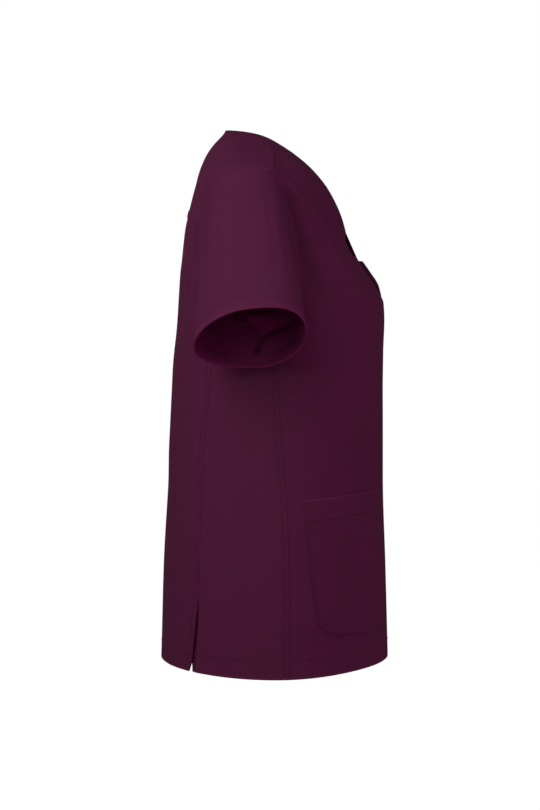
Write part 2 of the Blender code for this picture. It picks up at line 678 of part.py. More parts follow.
def angle_round(distance, height):
    """Angle at a distance round the form from the centre front."""
    angles = np.linspace(0.0, 110.0, DENSE)
    result = np.empty_like(distance)
    for place in np.ndindex(distance.shape):
        points = plain_form(angles, np.full_like(angles, height[place]))
        along = np.concatenate(((0.0,), np.cumsum(np.linalg.norm(np.diff(points, axis=0), axis=1))))
        result[place] = np.interp(distance[place], along, angles)
    return result


def make_pocket(name, side):
    """Patch pocket with a slanted top and rounded lower corners."""
    columns, rows = POCKET_CELLS
    across = np.linspace(0.0, 1.0, columns + 1)[None, :]
    corner = 1.0 - np.cos(np.linspace(0.0, np.pi / 2.0, CORNER_CELLS + 1))
    tall = POCKET_TOP_INNER - POCKET_FOOT_INNER
    above_corner = np.linspace(POCKET_CORNER / tall, 1.0, rows - CORNER_CELLS + 1)[1:]
    up = np.concatenate((corner * POCKET_CORNER / tall, above_corner))[:, None]
    foot = POCKET_FOOT_INNER + (POCKET_FOOT_OUTER - POCKET_FOOT_INNER) * across
    top = POCKET_TOP_INNER + (POCKET_TOP_OUTER - POCKET_TOP_INNER) * across
    height = foot + (top - foot) * up
    rounding = np.clip(1.0 - up * tall / POCKET_CORNER, 0.0, 1.0)
    inset = POCKET_CORNER * (1.0 - np.sqrt(1.0 - rounding**2))
    outer_edge = POCKET_OUTER_FOOT + (POCKET_OUTER_TOP - POCKET_OUTER_FOOT) * up - inset
    inner_edge = POCKET_INNER + inset
    distance = inner_edge + (outer_edge - inner_edge) * across
    angle = angle_round(distance, height)
    middle = np.sin(np.pi * across) * np.sin(np.pi * np.clip(up, 0.0, 1.0) ** 0.8)
    stand_off = PATCH_GAP + CLOTH + POCKET_FULLNESS * middle
    return panel_wall(name, side * angle, height, BURGUNDY_DEEP, CLOTH, stand_off, edges=())


def make_vent_facing(name, side):
    """Turned edge of the side panel's vent, which shows between the two edges of the vent."""
    height = np.linspace(VENT_FACING_FOOT, VENT_FACING_TOP, 7)[:, None]
    edge = side_seam("back_angle", height)
    across = np.linspace(-VENT_FACING_COVER, VENT_FACING_REACH, 5)[None, :] / MM_PER_DEGREE
    angle = edge + across
    height = np.broadcast_to(height, angle.shape)
    depth = -(TURNED_HEM + 2.0 * SEAM_GAP)
    return panel_wall(name, side * angle, height, BURGUNDY_DEEP, CLOTH, depth, edges=())


def clear_scene():
    for old in list(bpy.data.objects):
        bpy.data.objects.remove(old, do_unlink=True)


def main():
    clear_scene()
    make_front()
    make_back()
    make_yoke()
    make_neck_band()
    for word, side in (("right", -1.0), ("left", 1.0)):
        make_side_panel("side_panel_" + word, side)
        make_sleeve("sleeve_" + word, side)
        make_pocket("pocket_" + word, side)
        make_vent_facing("vent_facing_" + word, side)


main()
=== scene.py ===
"""Burgundy scrub top: cloth, seams, stitching, hems and the studio it stands in.

The garment keeps the hollow form it has when it is worn. +Z is up, the wearer faces -Y and the
wearer's right side is at -X. Lengths in the tables are in millimetres and angles in degrees. The
cloth lies on one form: a point of it has an angle, 0 at the centre front, 90 at the side and 180 at
the centre back, and a height, 0 at the high shoulder points and negative below.
"""

import bpy
import numpy as np
from bpy.props import FloatProperty, FloatVectorProperty, PointerProperty
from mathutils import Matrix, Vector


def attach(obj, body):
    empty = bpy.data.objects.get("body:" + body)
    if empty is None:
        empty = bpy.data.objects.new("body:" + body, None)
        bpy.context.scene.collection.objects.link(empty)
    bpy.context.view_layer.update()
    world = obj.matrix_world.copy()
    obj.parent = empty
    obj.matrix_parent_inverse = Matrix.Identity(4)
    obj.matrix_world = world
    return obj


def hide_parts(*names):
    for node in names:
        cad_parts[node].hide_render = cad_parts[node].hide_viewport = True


bl_info = {
    "name": "Scrub top",
    "version": (1, 0, 0),
    "blender": (4, 5, 0),
    "location": "3D View > Sidebar > Scrub top",
    "description": "Makes the cloth, the stitching and the studio of a short-sleeved scrub top",
    "category": "Add Mesh",
}

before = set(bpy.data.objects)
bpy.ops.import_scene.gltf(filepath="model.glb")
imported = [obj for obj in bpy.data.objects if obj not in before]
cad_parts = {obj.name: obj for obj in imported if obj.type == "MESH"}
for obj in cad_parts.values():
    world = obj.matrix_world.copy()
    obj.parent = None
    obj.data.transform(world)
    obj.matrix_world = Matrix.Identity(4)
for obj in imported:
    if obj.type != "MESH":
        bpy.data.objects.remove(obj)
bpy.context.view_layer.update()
MM = 0.001

# Form of the garment
FORM_COLUMNS = ("height", "half_width", "side", "front", "back", "front_fullness", "back_fullness")
FORM = np.array((
    (0, 85, 0, 66.5, 3, 0, 0),
    (-5, 98, 4.5, 72, 9.5, 0, 0),
    (-14, 119, 9.5, 79, 18, 0, 0.01),
    (-27, 146, 15.5, 93, 26.3, 0, 0.02),
    (-42, 170, 22.5, 108.5, 32, 0, 0.03),
    (-57, 190, 30, 120.5, 36.5, 0, 0.04),
    (-66, 194, 31, 127, 39, 0, 0.05),
    (-80, 191, 31.5, 135, 42.5, 0, 0.06),
    (-100, 182, 31.8, 144, 46.6, 0, 0.08),
    (-125, 174.5, 32.5, 152.5, 50.6, 0, 0.10),
    (-150, 171.8, 33.5, 162.5, 54, 0, 0.10),
    (-168, 172.5, 35, 174, 56.2, 0, 0.10),
    (-188, 174, 37.5, 187, 58, 0, 0.09),
    (-205, 176, 40.5, 195.2, 59.4, 0.01, 0.08),
    (-225, 178.5, 45.5, 196.2, 61, 0.01, 0.07),
    (-265, 182.5, 54.5, 194.8, 64.2, 0.01, 0.06),
    (-320, 186, 60.5, 194.2, 67.2, 0.01, 0.05),
    (-420, 190.5, 61.5, 194.2, 72.8, 0.01, 0.04),
    (-530, 196, 61.5, 197.5, 79.3, 0, 0.03),
    (-650, 200, 60.5, 200.4, 82.2, 0, 0.02),
))

# Folds of the body: start angle and height, end angle and height, depth and width. A trough has a
# negative depth; the wearer's left has positive angles.
MM_PER_DEGREE = 3.0  # typical length of one degree round the body
BODY_TAPER = (0.35, 0.3)  # softness of a fold's ends, and what is left at the very end
FOLDS = np.array((
    (-62, -205, -44, -275, -3.2, 26),
    (63, -200, 46, -290, -3.8, 24),
    (-52, -330, -50, -640, -2.4, 34),
    (46, -350, 52, -640, -3, 32),
    (-105, -330, -103, -600, -2, 30),
    (104, -300, 106, -620, -2.6, 30),
    (-146, -170, -152, -560, -3.4, 36),
    (143, -190, 150, -600, -4.2, 33),
    (172, -330, 176, -640, -2.2, 30),
    (-168, -250, -166, -420, 2, 26),
))
# Finer creases, in the same way
CREASES = np.array((
    (-64, -50, -12, -138, -7.2, 14.5),
    (62, -53, 16, -142, -5.6, 14),
    (-66, -60, -63, -206, -7, 14.5),
    (-50, -96, -37, -172, 1.5, 12),
    (66, -62, 63, -208, -6, 13.5),
    (-10.2, -119, -6.5, -147, -4.5, 16),
    (52, -94, 36, -168, 1.7, 13),
    (-50, -566, -88, -582, 1.8, 30),
    (54, -560, 86, -572, 1.4, 28),
    (-78, -222, -58, -252, -1.3, 7),
    (79, -222, 60, -262, -1.6, 8),
    (-96, -232, -99, -300, 1, 8),
    (97, -232, 101, -318, 1.3, 8),
    (-70, -300, -63, -424, 0.9, 16),
    (68, -310, 60, -440, 1.2, 17),
    (-28, -205, -22, -420, 1.5, 18),
    (26, -200, 18, -400, 1.8, 19),
    (-13, -190, -11, -330, -1.4, 15),
    (13, -196, 7, -350, -1.6, 14),
    (8, -300, 5, -600, -1.3, 22),
    (-88, -489, -99, -491, -0.5, 3),
    (-131, -66, -128.5, -106, -2.6, 5.5),
    (130, -68, 128.5, -100, -1.3, 5.5),
    (-128, -92, -126.5, -190, -3.8, 5.5),
    (128, -96, 127, -184, -3, 5.5),
    (124, -136, 139, -218, -2.8, 10),
    (-124, -136, -138, -210, -2.4, 10),
    (158, -122, 151, -262, -2.6, 13),
    (-161, -124, -153, -246, -2.3, 13),
    (131, -300, 135, -500, 1.8, 14),
    (-132, -320, -135, -520, 1.5, 14),
    (142, -330, 158, -392, -2.2, 11),
    (-141, -346, -160, -398, -1.9, 11),
    (148, -436, 168, -484, -2, 12),
    (-149, -452, -167, -492, -1.8, 12),
    (173, -300, 169, -470, -1.6, 14),
))

# Seam lines
ARMHOLE = np.array((
    (82, -215), (73.5, -203), (67.5, -188), (64.8, -170), (63.2, -146), (63.2, -118),
    (67, -90), (71.5, -75), (76.5, -65), (83, -59), (90, -57), (100, -58.8),
    (108.5, -62.5), (117, -69), (123.3, -80), (125.3, -100), (124.8, -121), (124, -145),
    (122, -172), (119, -193), (114, -210), (107, -219), (98, -223), (89, -220.5),
))
FRONT_SEAM_ROW = 0
SHOULDER_SEAM_ROW = 8
YOKE_SEAM_ROW = 16
BACK_SEAM_ROW = 20
FRONT_EDGE = ("front_angle", FRONT_SEAM_ROW)
BACK_EDGE = ("back_angle", BACK_SEAM_ROW)

SIDE_SEAM_COLUMNS = ("height", "front_angle", "back_angle")
SIDE_SEAMS = np.array((
    (-210, 81, 114),
    (-235, 86, 117.5),
    (-265, 89.5, 118.7),
    (-325, 91.3, 121.7),
    (-380, 90.2, 124.6),
    (-442, 88.5, 125.4),
    (-510, 86.9, 126),
    (-570, 86.6, 127),
    (-630, 86.5, 128.4),
    (-650, 86.5, 131),
))
HEM_HEIGHT = -641.5
HEM_SIDE_DROP = 5.5  # how much lower the hem hangs at the sides
HEM_SIDE_SHARPNESS = 4
FRONT_HEM = (-87.0, 87.0)  # first and last angle of each panel's hem
BACK_HEM = (125.0, 235.0)
SIDE_HEM = (86.0, 131.5)
SIDE_HEM_POINTS = 60
YOKE_CENTRE_HEIGHT = -103.0
YOKE_CURVE = 2.2
YOKE_RISE = 0.7  # how much the yoke stands off over its felled edge
SHOULDER_SEAM_NECK_HEIGHT = -17.0
SHOULDER_LINE_EDGE_HEIGHT = -8.0
CORNER_BLEND = 40.0  # height over which a side seam bends to the armhole's corner
VENT_TOP = -558.0
VENT_SPREAD = 10.5
VENT_ROUNDING = 0.8
VENT_FACING = (-644.0, -552.0, -9.0, 15.0)  # foot, top, reach forward, reach back
VENT_FACING_SLANT = (-628.0, 8.0)  # where its free edge turns in, and by how much at the foot
VENT_FACING_DEPTH = 3.2  # how far it lies inside the form

# Neck
NECK_EDGE = (85.0, 0.0, -154.0, -32.7)  # half width, ridge, front and back heights
NECK_SEAM = (105.0, -8.0, -196.0, -54.7)
BACK_NECK_ROUNDNESS = 2.6
FRONT_NECK_POWER = 1.6
FRONT_NECK_CELLS = 90
YOKE_CORNER_PLACE = 0.55  # share of a neck line's points behind the yoke's outer corner
BAND_CELL = 3.0
BAND_SWELL = 0.35  # rise of the band's middle
BAND_WIDTH = 20.0
LAP_TIP = (-7.3, -174.6)
LAP_LENGTH = 28.0
LAP_STAND_OFF = 5.2
LAP_FALL = 0.75  # share of that by which the lap sinks towards its seam
LAP_STEP = 1.4  # over which the end steps up onto the other half
LAP_CLEARANCE = 0.2  # between the turned-under end and what it lies on
THINNEST_END = 0.8
GAPE = 1.4  # how far the left half's free edge stands off above the lap
GAPE_HEIGHTS = (-84.0, -126.0, -140.0, -163.0)  # where the gap starts, is widest, narrows and closes
LOW_EDGE = 3.0  # how far the right half's free edge dips there

# Sleeve
CUFF_CENTRE = (247.5, 30.3, -257.0)
CUFF_UP = (0.831, 0.0, 0.556)
CUFF_FORWARD = (0.0, 1.0, 0.070)
SLEEVE_AXIS = (0.556, 0.0, -0.831)
CUFF = np.array((
    (-3, -55.5), (19, -56.2), (37, -48), (54, -31), (62, -8), (63, 13),
    (58, 33), (44, 49.5), (22, 56.5), (-10, 55), (-34, 43), (-52, 23.5),
    (-62, -2), (-59, -25), (-43, -41.5), (-24, -51),
))
CAP_PUSH = 0.8
CUFF_PUSH = 0.7
CAP_TURN = 0.25
HEM_FLARE = 1.5  # how far a sleeve's hem turns outwards
FLARE_REACH = 16.0
SLEEVE_CELL = 4.0
SLEEVE_ROUND = 420.0  # typical length round a sleeve
SLEEVE_TAPER = (0.3, 0.4)  # as BODY_TAPER
SLEEVE_STRENGTH = 0.82  # of its folds, on the mean of both sleeves
SLEEVE_DIFFERENCE = 0.2  # stronger on the right, weaker on the left
SLEEVE_FOLD_ENDS = (10.0, 24.0)  # how close to the seam and to the hem they begin to fade
# Folds of a sleeve: start length and place, end length and place, depth and width. The length is from
# the armhole seam, and the place round the sleeve is a share from its lowest point forwards. A ridge
# has a positive depth and is a groove from the inside.
SLEEVE_FOLDS = np.array((
    (20, 0.30, 112, 0.27, -1.8, 13),
    (15, 0.42, 150, 0.38, 1.8, 15),
    (30, 0.70, 112, 0.73, -1.5, 13),
    (12, 0.60, 80, 0.63, 1.2, 12),
    (-5, 0.020, 70, 0.020, -4.5, 36),
    (53, 0.030, 30, 0.039, 6.8, 4.4),
    (29.5, 0.039, 35, 0.130, 5.4, 6),
    (29.5, 0.039, 13, 0.002, 3.2, 8),
    (14, -0.014, 5, -0.008, 3.6, 6),
    (-4, 0.225, 75, 0.240, 2.4, 18),
    (8, 0.86, 60, 0.93, 1.6, 7),
))

# Pocket
POCKET_INNER = 54.0
POCKET_OUTER = (229.0, 216.0)  # at the top and at the foot
POCKET_TOP = (-429.5, -441.5)  # at the inner and at the outer edge
POCKET_FOOT = (-604.5, -600.0)
POCKET_CORNER = 28.0
POCKET_RISE = 1.3
POCKET_FULLNESS = 1.4
POCKET_GAPE = 0.7  # how much more the mouth stands off
POCKET_MOUTH_ROLL = 1.0
POCKET_EDGE_ROLL = 0.6
POCKET_EDGE_DIP = 0.3  # how much its felled edge lies lower
POCKET_TACK = (4.5, 1.6)  # how far a tack lies in from the corner of the mouth

# Soft lights: the name, where each stands and what it is turned to, in metres, and the setting of its size
LIGHTS = (
    ("key", (-1.02, 0.78, 0.60), (-0.22, 0.0, -0.22), "key_size"),
    ("left", (1.6, 0.1, -0.05), (0.1, 0.0, -0.33), "fill_size"),
    ("front", (-0.75, -2.1, 0.2), (-0.1, -0.1, -0.32), "fill_size"),
    ("gloss", (-1.1, 0.42, 0.35), (-0.2, 0.0, -0.05), "key_size"),
    ("sleeve", (-0.74, -0.14, 0.12), (-0.26, -0.03, -0.17), "sleeve_light_size"),
)

# Sewing
STITCH_ROWS = (1.6, 7.0)  # how far both rows of stitches lie from their seam
ROW_STAND_OFF = 0.5
HEM_ROW_STAND_OFF = 0.15
STITCHED_HEMS = ((-86.0, 86.0), (127.0, 233.0), (87.0, 130.0), (-130.0, -87.0))  # by their angles
# The four squares of a stitch: the place as a share of its length, size and rise as shares of its radius
STITCH_SQUARES = ((-0.5, 0.35, -0.7), (-0.28, 1.0, 0.25), (0.28, 1.0, 0.25), (0.5, 0.35, -0.7))
TACK_LENGTH = 8.0
TACK_PITCH = 0.5
TACK_WIDTH = 2.9
SEAM_ROLL = 0.18  # depth of an edge's roll into its seam
SEAM_ROLL_REACH = 1.2
SEAM_RIDGE = 0.22  # rise of the cloth over the turnings of a seam
SLEEVE_RIDGE = 0.5
TURNINGS_END = 8.6  # how far from a seam its turnings end
LAYER_STEP = 1.6  # length over which cloth rises or thickens by a layer
FELLED_EDGE = (9.0, 2.0)  # where a layer sewn down by both rows ends, and its step
TURNING = 1.1  # how far a sewn edge goes under its neighbour
TURNING_SLOPE = 0.35  # share of that by which it sinks as well
SEWN = 0.05  # an edge nearer to a seam than this is sewn
RIM_SHARE = 0.4  # rounding of a free edge as a share of the thickness
RIM_REACH = 0.9  # and at most

# Grids
SIDES = (("right", -1.0), ("left", 1.0))
BORDER = np.array((0.0, 0.6, 1.3, 2.4, 4.0))  # places of the narrow cells along a border
DENSE = 400  # points in an arc and in each half of a neck line
FAR = 100.0  # stands for no seam near
YOKE_SHARES = np.linspace(0.0, 1.0, 101)
ARC_CELLS = 80
BACK_NECK_CELLS = 100
BAND_CELLS = 160
HEM_POINTS = 160
SIDE_POINTS = 201
SHOULDER_POINTS = 41
SLEEVE_CELLS = 34  # along each of the four stretches of an armhole
COARSE_RINGS = 40  # of a sleeve, before its rings are spaced evenly

# Shaders: pitches in metres, and the scale and detail of each kind of noise.
RIB_PITCH = 0.0011
RIB_SLANT = 0.8
THREAD_PITCH = 0.0006
PUCKERS = (260.0, 1.0)
MOTTLING = (14.0, 3.0)
SLUBS = (900.0, 1.0)
SOFTNESS = (22.0, 2.0)
PLIES = (2200.0, 1.0)
PAPER_TOOTH = (40.0, 2.0)
# What each pattern adds to the twill's tone, and the width in millimetres of what follows a row.
MOTTLING_TONE = 0.16
SLUB_TONE = 0.12
RIB_TONE = 0.22
# Painted shade darkens the stitched grooves; the ridge between both rows is lighter by as much.
ROW_PAINTED_SHADE_AND_RIDGE_TONE = 0.03
# Painted highlight along the free edge of every hem, as a folded edge catches the light.
EDGE_PAINTED_HIGHLIGHT = 0.6
# Painted shade on the wrong side just inside a hem.
INNER_HEM_PAINTED_SHADE = 0.17
ROW_WIDTHS = (0.55, 0.6)
HEM_ROW_WIDTH = 0.7
PUCKER_WIDTH = 4.5
HEM_PUCKER_WIDTH = 4.0
# Heights of the relief, in metres
RIB_HEIGHT = 0.00006
THREAD_HEIGHT = 0.00003
SLUB_HEIGHT = 0.00003
ROW_DEPTH = 0.00011
PUCKER_HEIGHT = 0.00035
SOFT_HEIGHT = 0.0011
WHITE = (1.0, 1.0, 1.0, 1.0)


# Curves and tables
def mix(first, second, share):
    return first + (second - first) * share


def wrapped(value, turn):
    """The value brought to within half a turn of 0."""
    return (value + turn / 2.0) % turn - turn / 2.0


def smooth_step(t):
    t = np.clip(t, 0.0, 1.0)
    return t * t * (3.0 - 2.0 * t)


def falling_square(distance, reach):
    """1 at no distance, falling as a square to 0 at the reach."""
    return np.clip(1.0 - distance / reach, 0.0, 1.0) ** 2


def cubic(t, start, leaving, end, arriving):
    """The cubic from start to end with these slopes, at the share t."""
    return ((2 * t**3 - 3 * t**2 + 1) * start + (t**3 - 2 * t**2 + t) * leaving
            + (3 * t**2 - 2 * t**3) * end + (t**3 - t**2) * arriving)


def monotone_tangents(knots, values):
    """Slopes at the knots: the harmonic mean of the slopes on both sides, none at a turning point."""
    steps = np.diff(knots)
    slopes = np.diff(values) / steps
    before, after = slopes[:-1], slopes[1:]
    weight_before = 2.0 * steps[1:] + steps[:-1]
    weight_after = steps[1:] + 2.0 * steps[:-1]
    same_way = before * after > 0.0
    safe_before = np.where(same_way, before, 1.0)
    safe_after = np.where(same_way, after, 1.0)
    mean = (weight_before + weight_after) / (weight_before / safe_before + weight_after / safe_after)
    return np.concatenate((slopes[:1], np.where(same_way, mean, 0.0), slopes[-1:]))


def read_table(knots, values, at):
    """Cubic through the rows of a table, with monotone tangents, at the given places."""
    order = np.argsort(knots)
    knots, values = knots[order], values[order]
    tangents = monotone_tangents(knots, values)
    at = np.clip(at, knots[0], knots[-1])
    cell = np.clip(np.searchsorted(knots, at) - 1, 0, len(knots) - 2)
    step = knots[cell + 1] - knots[cell]
    return cubic((at - knots[cell]) / step, values[cell], step * tangents[cell],
                 values[cell + 1], step * tangents[cell + 1])


def form_column(name, height):
    return read_table(FORM[:, 0], FORM[:, FORM_COLUMNS.index(name)], height)


def side_seam(name, height):
    return read_table(SIDE_SEAMS[:, 0], SIDE_SEAMS[:, SIDE_SEAM_COLUMNS.index(name)], height)


def closed_curve(rows, place):
    """Closed curve through the rows by the cubic that keeps half the chord as its slope at each row."""
    count = len(rows)
    cell = np.floor(place).astype(int)
    before, start, end, after = (rows[(cell + shift) % count] for shift in (-1, 0, 1, 2))
    return cubic((place - cell)[:, None], start, 0.5 * (end - before), end, 0.5 * (after - start))


def lengths_along(points, axis=0):
    """Length from the first point along a run of points, or along each row or column of a grid."""
    steps = np.linalg.norm(np.diff(points, axis=axis), axis=-1)
    return np.insert(np.cumsum(steps, axis=axis), 0, 0.0, axis=axis)


def unit(vectors):
    return vectors / np.linalg.norm(vectors, axis=-1, keepdims=True)


def between(grid, rows, columns):
    """Values of a grid at fractional rows and columns, by straight interpolation both ways."""
    row = np.clip(np.floor(rows).astype(int), 0, grid.shape[0] - 2)
    column = np.clip(np.floor(columns).astype(int), 0, grid.shape[1] - 2)
    along = columns - column
    return mix(mix(grid[row, column], grid[row, column + 1], along),
               mix(grid[row + 1, column], grid[row + 1, column + 1], along), rows - row)


# Form
def oval_width(turn, fullness):
    return (np.sin(turn) + fullness * np.sin(3.0 * turn)) / (1.0 - fullness)


def plain_form(angle, height):
    """Half an oval in front and another behind, each a sine and cosine with a share of their triples."""
    around = wrapped(angle, 360.0)
    turn = np.radians(np.abs(around))
    behind = turn > np.pi / 2.0
    fullness = np.where(behind, form_column("back_fullness", height), form_column("front_fullness", height))
    turn = np.where(behind, np.pi - turn, turn)
    side = form_column("side", height)
    reach = np.where(behind, -form_column("back", height) - side, form_column("front", height) - side)
    deep = (np.cos(turn) - fullness * np.cos(3.0 * turn)) / (1.0 - fullness)
    across = np.sign(around) * form_column("half_width", height) * oval_width(turn, fullness)
    return np.stack((across, -(side + reach * deep), height + 0.0 * across), axis=-1)


def form_slopes(angle, height, nudge=0.4):
    """How the form's points move for one degree and for one millimetre of height, by differences."""
    around = (plain_form(angle + nudge, height) - plain_form(angle - nudge, height)) / (2.0 * nudge)
    upward = (plain_form(angle, height + nudge) - plain_form(angle, height - nudge)) / (2.0 * nudge)
    return around, upward


def form_normal(angle, height):
    return unit(np.cross(*form_slopes(angle, height)))


def fold_share(first, second, run, width, taper):
    """How much of a fold reaches a place: a bell across its run, times a soft step at both its ends.

    The place is given from the fold's start, along the same two ways as the run.
    """
    length = np.hypot(*run)
    along = (first * run[0] + second * run[1]) / length ** 2
    aside = (first * run[1] - second * run[0]) / length
    ends = smooth_step(along / taper[0] + taper[1]) * smooth_step((1.0 - along) / taper[0] + taper[1])
    return ends * np.exp(-(aside / width) ** 2)


def fold_depth(angle, height, rows):
    """Depth of all the folds of a table together."""
    total = np.zeros(np.broadcast(angle, height).shape)
    for start_angle, start_height, end_angle, end_height, depth, width in rows:
        run = ((end_angle - start_angle) * MM_PER_DEGREE, end_height - start_height)
        across = wrapped(angle - start_angle, 360.0) * MM_PER_DEGREE
        total = total + depth * fold_share(across, height - start_height, run, width, BODY_TAPER)
    return total


def on_form(angle, height, stand_off=0.0):
    """Point of the form moved along its normal by its folds, its creases and stand_off."""
    angle, height = np.broadcast_arrays(np.asarray(angle, float), np.asarray(height, float))
    strength = bpy.context.scene.scrub_cut.crease_strength
    rise = fold_depth(angle, height, FOLDS) + strength * fold_depth(angle, height, CREASES) + stand_off
    return plain_form(angle, height) + form_normal(angle, height) * np.asarray(rise)[..., None]


def angle_across(across, height, behind):
    """Angle at which the form is this far across, found by halving."""
    fullness = form_column("back_fullness" if behind else "front_fullness", height)
    share = np.clip(np.abs(across) / form_column("half_width", height), 0.0, 1.0)
    low, high = np.zeros_like(share), np.full_like(share, np.pi / 2.0)
    for _ in range(40):
        middle = 0.5 * (low + high)
        inside = oval_width(middle, fullness) < share
        low, high = np.where(inside, middle, low), np.where(inside, high, middle)
    turn = 180.0 - np.degrees(low) if behind else np.degrees(low)
    return np.where(across < 0.0, -turn, turn)


# Lines on the form, each a pair of angles and heights
def even_steps(line, cells):
    """The same line on the form with its points evenly spaced along it."""
    along = lengths_along(plain_form(*line))
    even = np.linspace(0.0, along[-1], cells + 1)
    return np.interp(even, along, line[0]), np.interp(even, along, line[1])


def joined(first, second):
    """Two lines as one; the second starts where the first ends."""
    return tuple(np.append(a, b[1:]) for a, b in zip(first, second))


def mirrored(line):
    return -line[0], line[1]


def both(line):
    return [line, mirrored(line)]


def armhole_arc(first_row, last_row, cells=ARC_CELLS):
    """Stretch of the armhole between two rows of its table."""
    angle, height = closed_curve(ARMHOLE, np.linspace(first_row, last_row, DENSE)).T
    return even_steps((angle, height), cells)


def neck_line(half_width, ridge_height, front_height, back_height, past_centre=()):
    """Behind, a power curve over a quarter sine; in front, a falling power; then straight past the centre."""
    back_across = half_width * np.sin(np.linspace(0.0, np.pi / 2.0, DENSE))
    back = mix(ridge_height, back_height, 1.0 - (back_across / half_width) ** BACK_NECK_ROUNDNESS)
    share = np.linspace(0.0, 1.0, DENSE)[1:] ** FRONT_NECK_POWER
    front_across = np.append(half_width * (1.0 - share), past_centre[:1])
    front = np.append(mix(ridge_height, front_height, share), past_centre[1:])
    angle = np.append(angle_across(back_across, back, True), angle_across(front_across, front, False))
    return angle, np.append(back, front)


def cut_line(line, cut_height):
    """A line round the neck cut in front of the shoulder, where it reaches the given height."""
    angle, height = line
    cut = DENSE + int(np.argmin(np.abs(height[DENSE:] - cut_height)))
    return (angle[:cut + 1], height[:cut + 1]), (angle[cut:], height[cut:])


def neck_seam():
    """Left half of the neck seam: its parts behind and in front of the shoulder seam."""
    return cut_line(neck_line(*NECK_SEAM), SHOULDER_SEAM_NECK_HEIGHT)


def hem_height(angle):
    return HEM_HEIGHT - HEM_SIDE_DROP * np.sin(np.radians(angle)) ** HEM_SIDE_SHARPNESS


def hem_line(first, last, points=HEM_POINTS):
    angle = np.linspace(first, last, points)
    return angle, hem_height(angle)


def side_edge(name, row, spread=0.0):
    """Side seam of a panel, from the hem up to its corner of the armhole; spread opens the vent."""
    corner_angle, corner_height = ARMHOLE[row]
    foot = hem_height(side_seam(name, HEM_HEIGHT))
    height = mix(foot, corner_height, np.linspace(0.0, 1.0, SIDE_POINTS))
    blend = smooth_step((height - corner_height + CORNER_BLEND) / CORNER_BLEND)
    angle = side_seam(name, height) + (corner_angle - side_seam(name, corner_height)) * blend
    opening = np.clip((VENT_TOP - height) / (VENT_TOP - HEM_HEIGHT), 0.0, 1.0) ** VENT_ROUNDING
    return angle + spread * opening / MM_PER_DEGREE, height


def yoke_seam(share):
    """Seam between the yoke and the back, from the centre back outwards to the armhole."""
    corner_angle, corner_height = ARMHOLE[YOKE_SEAM_ROW]
    rise = np.abs(share) ** YOKE_CURVE
    return mix(180.0, corner_angle, share), mix(YOKE_CENTRE_HEIGHT, corner_height, rise)


def shoulder_seam():
    """Forward shoulder seam, straight in angle and height from the armhole to the neck seam."""
    share = np.linspace(0.0, 1.0, SHOULDER_POINTS)
    corner = ARMHOLE[SHOULDER_SEAM_ROW]
    return tuple(mix(start, neck[0], share) for start, neck in zip(corner, neck_seam()[1]))


def inset_line(line, distance):
    """The line moved sideways over the form, to its left seen from outside, by solving for both steps."""
    points = plain_form(*line)
    around, upward = form_slopes(*line)
    aside = unit(np.cross(unit(np.cross(around, upward)), np.gradient(points, axis=0))) * distance
    aa, ah, hh = (np.sum(p * q, axis=-1) for p, q in ((around, around), (around, upward), (upward, upward)))
    along_a, along_h = np.sum(around * aside, axis=-1), np.sum(upward * aside, axis=-1)
    scale = aa * hh - ah * ah
    return line[0] + (along_a * hh - along_h * ah) / scale, line[1] + (along_h * aa - along_a * ah) / scale


def distance_to(points, lines):
    """Least distance from each point to a run of straight segments, over all the lines."""
    flat = points.reshape(-1, 1, 3)
    nearest = np.full(len(flat), FAR)
    for line in lines:
        start, run = line[:-1], np.diff(line, axis=0)
        square = np.maximum(np.sum(run * run, axis=-1), 1e-9)
        along = np.clip(np.sum((flat - start) * run, axis=-1) / square, 0.0, 1.0)
        apart = np.linalg.norm(flat - start - along[..., None] * run, axis=-1)
        nearest = np.minimum(nearest, apart.min(axis=1))
    return nearest.reshape(points.shape[:-1])


# Cloth meshes
def places(along, cell):
    """Places for a row of cells: narrow ones at both ends and even ones between, as fractional indices."""
    total = along[-1]
    inner = np.linspace(BORDER[-1], total - BORDER[-1], max(2, int((total - 2 * BORDER[-1]) / cell) + 1))
    wanted = np.concatenate((BORDER[:-1], inner, total - BORDER[-2::-1]))
    return np.interp(wanted, along, np.arange(len(along)))


def respaced(angle, height, cell):
    """The grid with even cells: across by its longest steps, and up along its first column."""
    points = plain_form(angle, height)
    longest = np.linalg.norm(np.diff(points, axis=1), axis=2).max(axis=0)
    columns = places(np.insert(np.cumsum(longest), 0, 0.0), cell)[None, :]
    rows = places(lengths_along(points[:, 0]), cell)[:, None]
    return between(angle, rows, columns), between(height, rows, columns)


def grid_normals(points, closed):
    """Cross product of the differences along both ways of the grid."""
    if closed:
        across = np.roll(points, -1, axis=1) - np.roll(points, 1, axis=1)
    else:
        across = np.gradient(points, axis=1)
    return unit(np.cross(across, np.gradient(points, axis=0)))


def over_grid(value, grid):
    """The value, or its own grid of values, for each point of a grid."""
    return np.broadcast_to(np.asarray(value, float), grid.shape[:2])


def quads(rows, columns, closed):
    """Corners of the cells of a grid, whose rows can be rings."""
    wide = columns if closed else columns - 1
    row, column = np.meshgrid(np.arange(rows - 1), np.arange(wide), indexing="ij")
    here, above, beside = row * columns, (row + 1) * columns, (column + 1) % columns
    return np.stack((here + column, here + beside, above + beside, above + column), axis=-1).reshape(-1, 4)


def borders(index, closed):
    """Rings of points round a sheet, or at both ends of a tube."""
    if closed:
        return index[0], index[-1][::-1]
    return (np.concatenate((index[0], index[1:, -1], index[-1, -2::-1], index[-2:0:-1, 0])),)


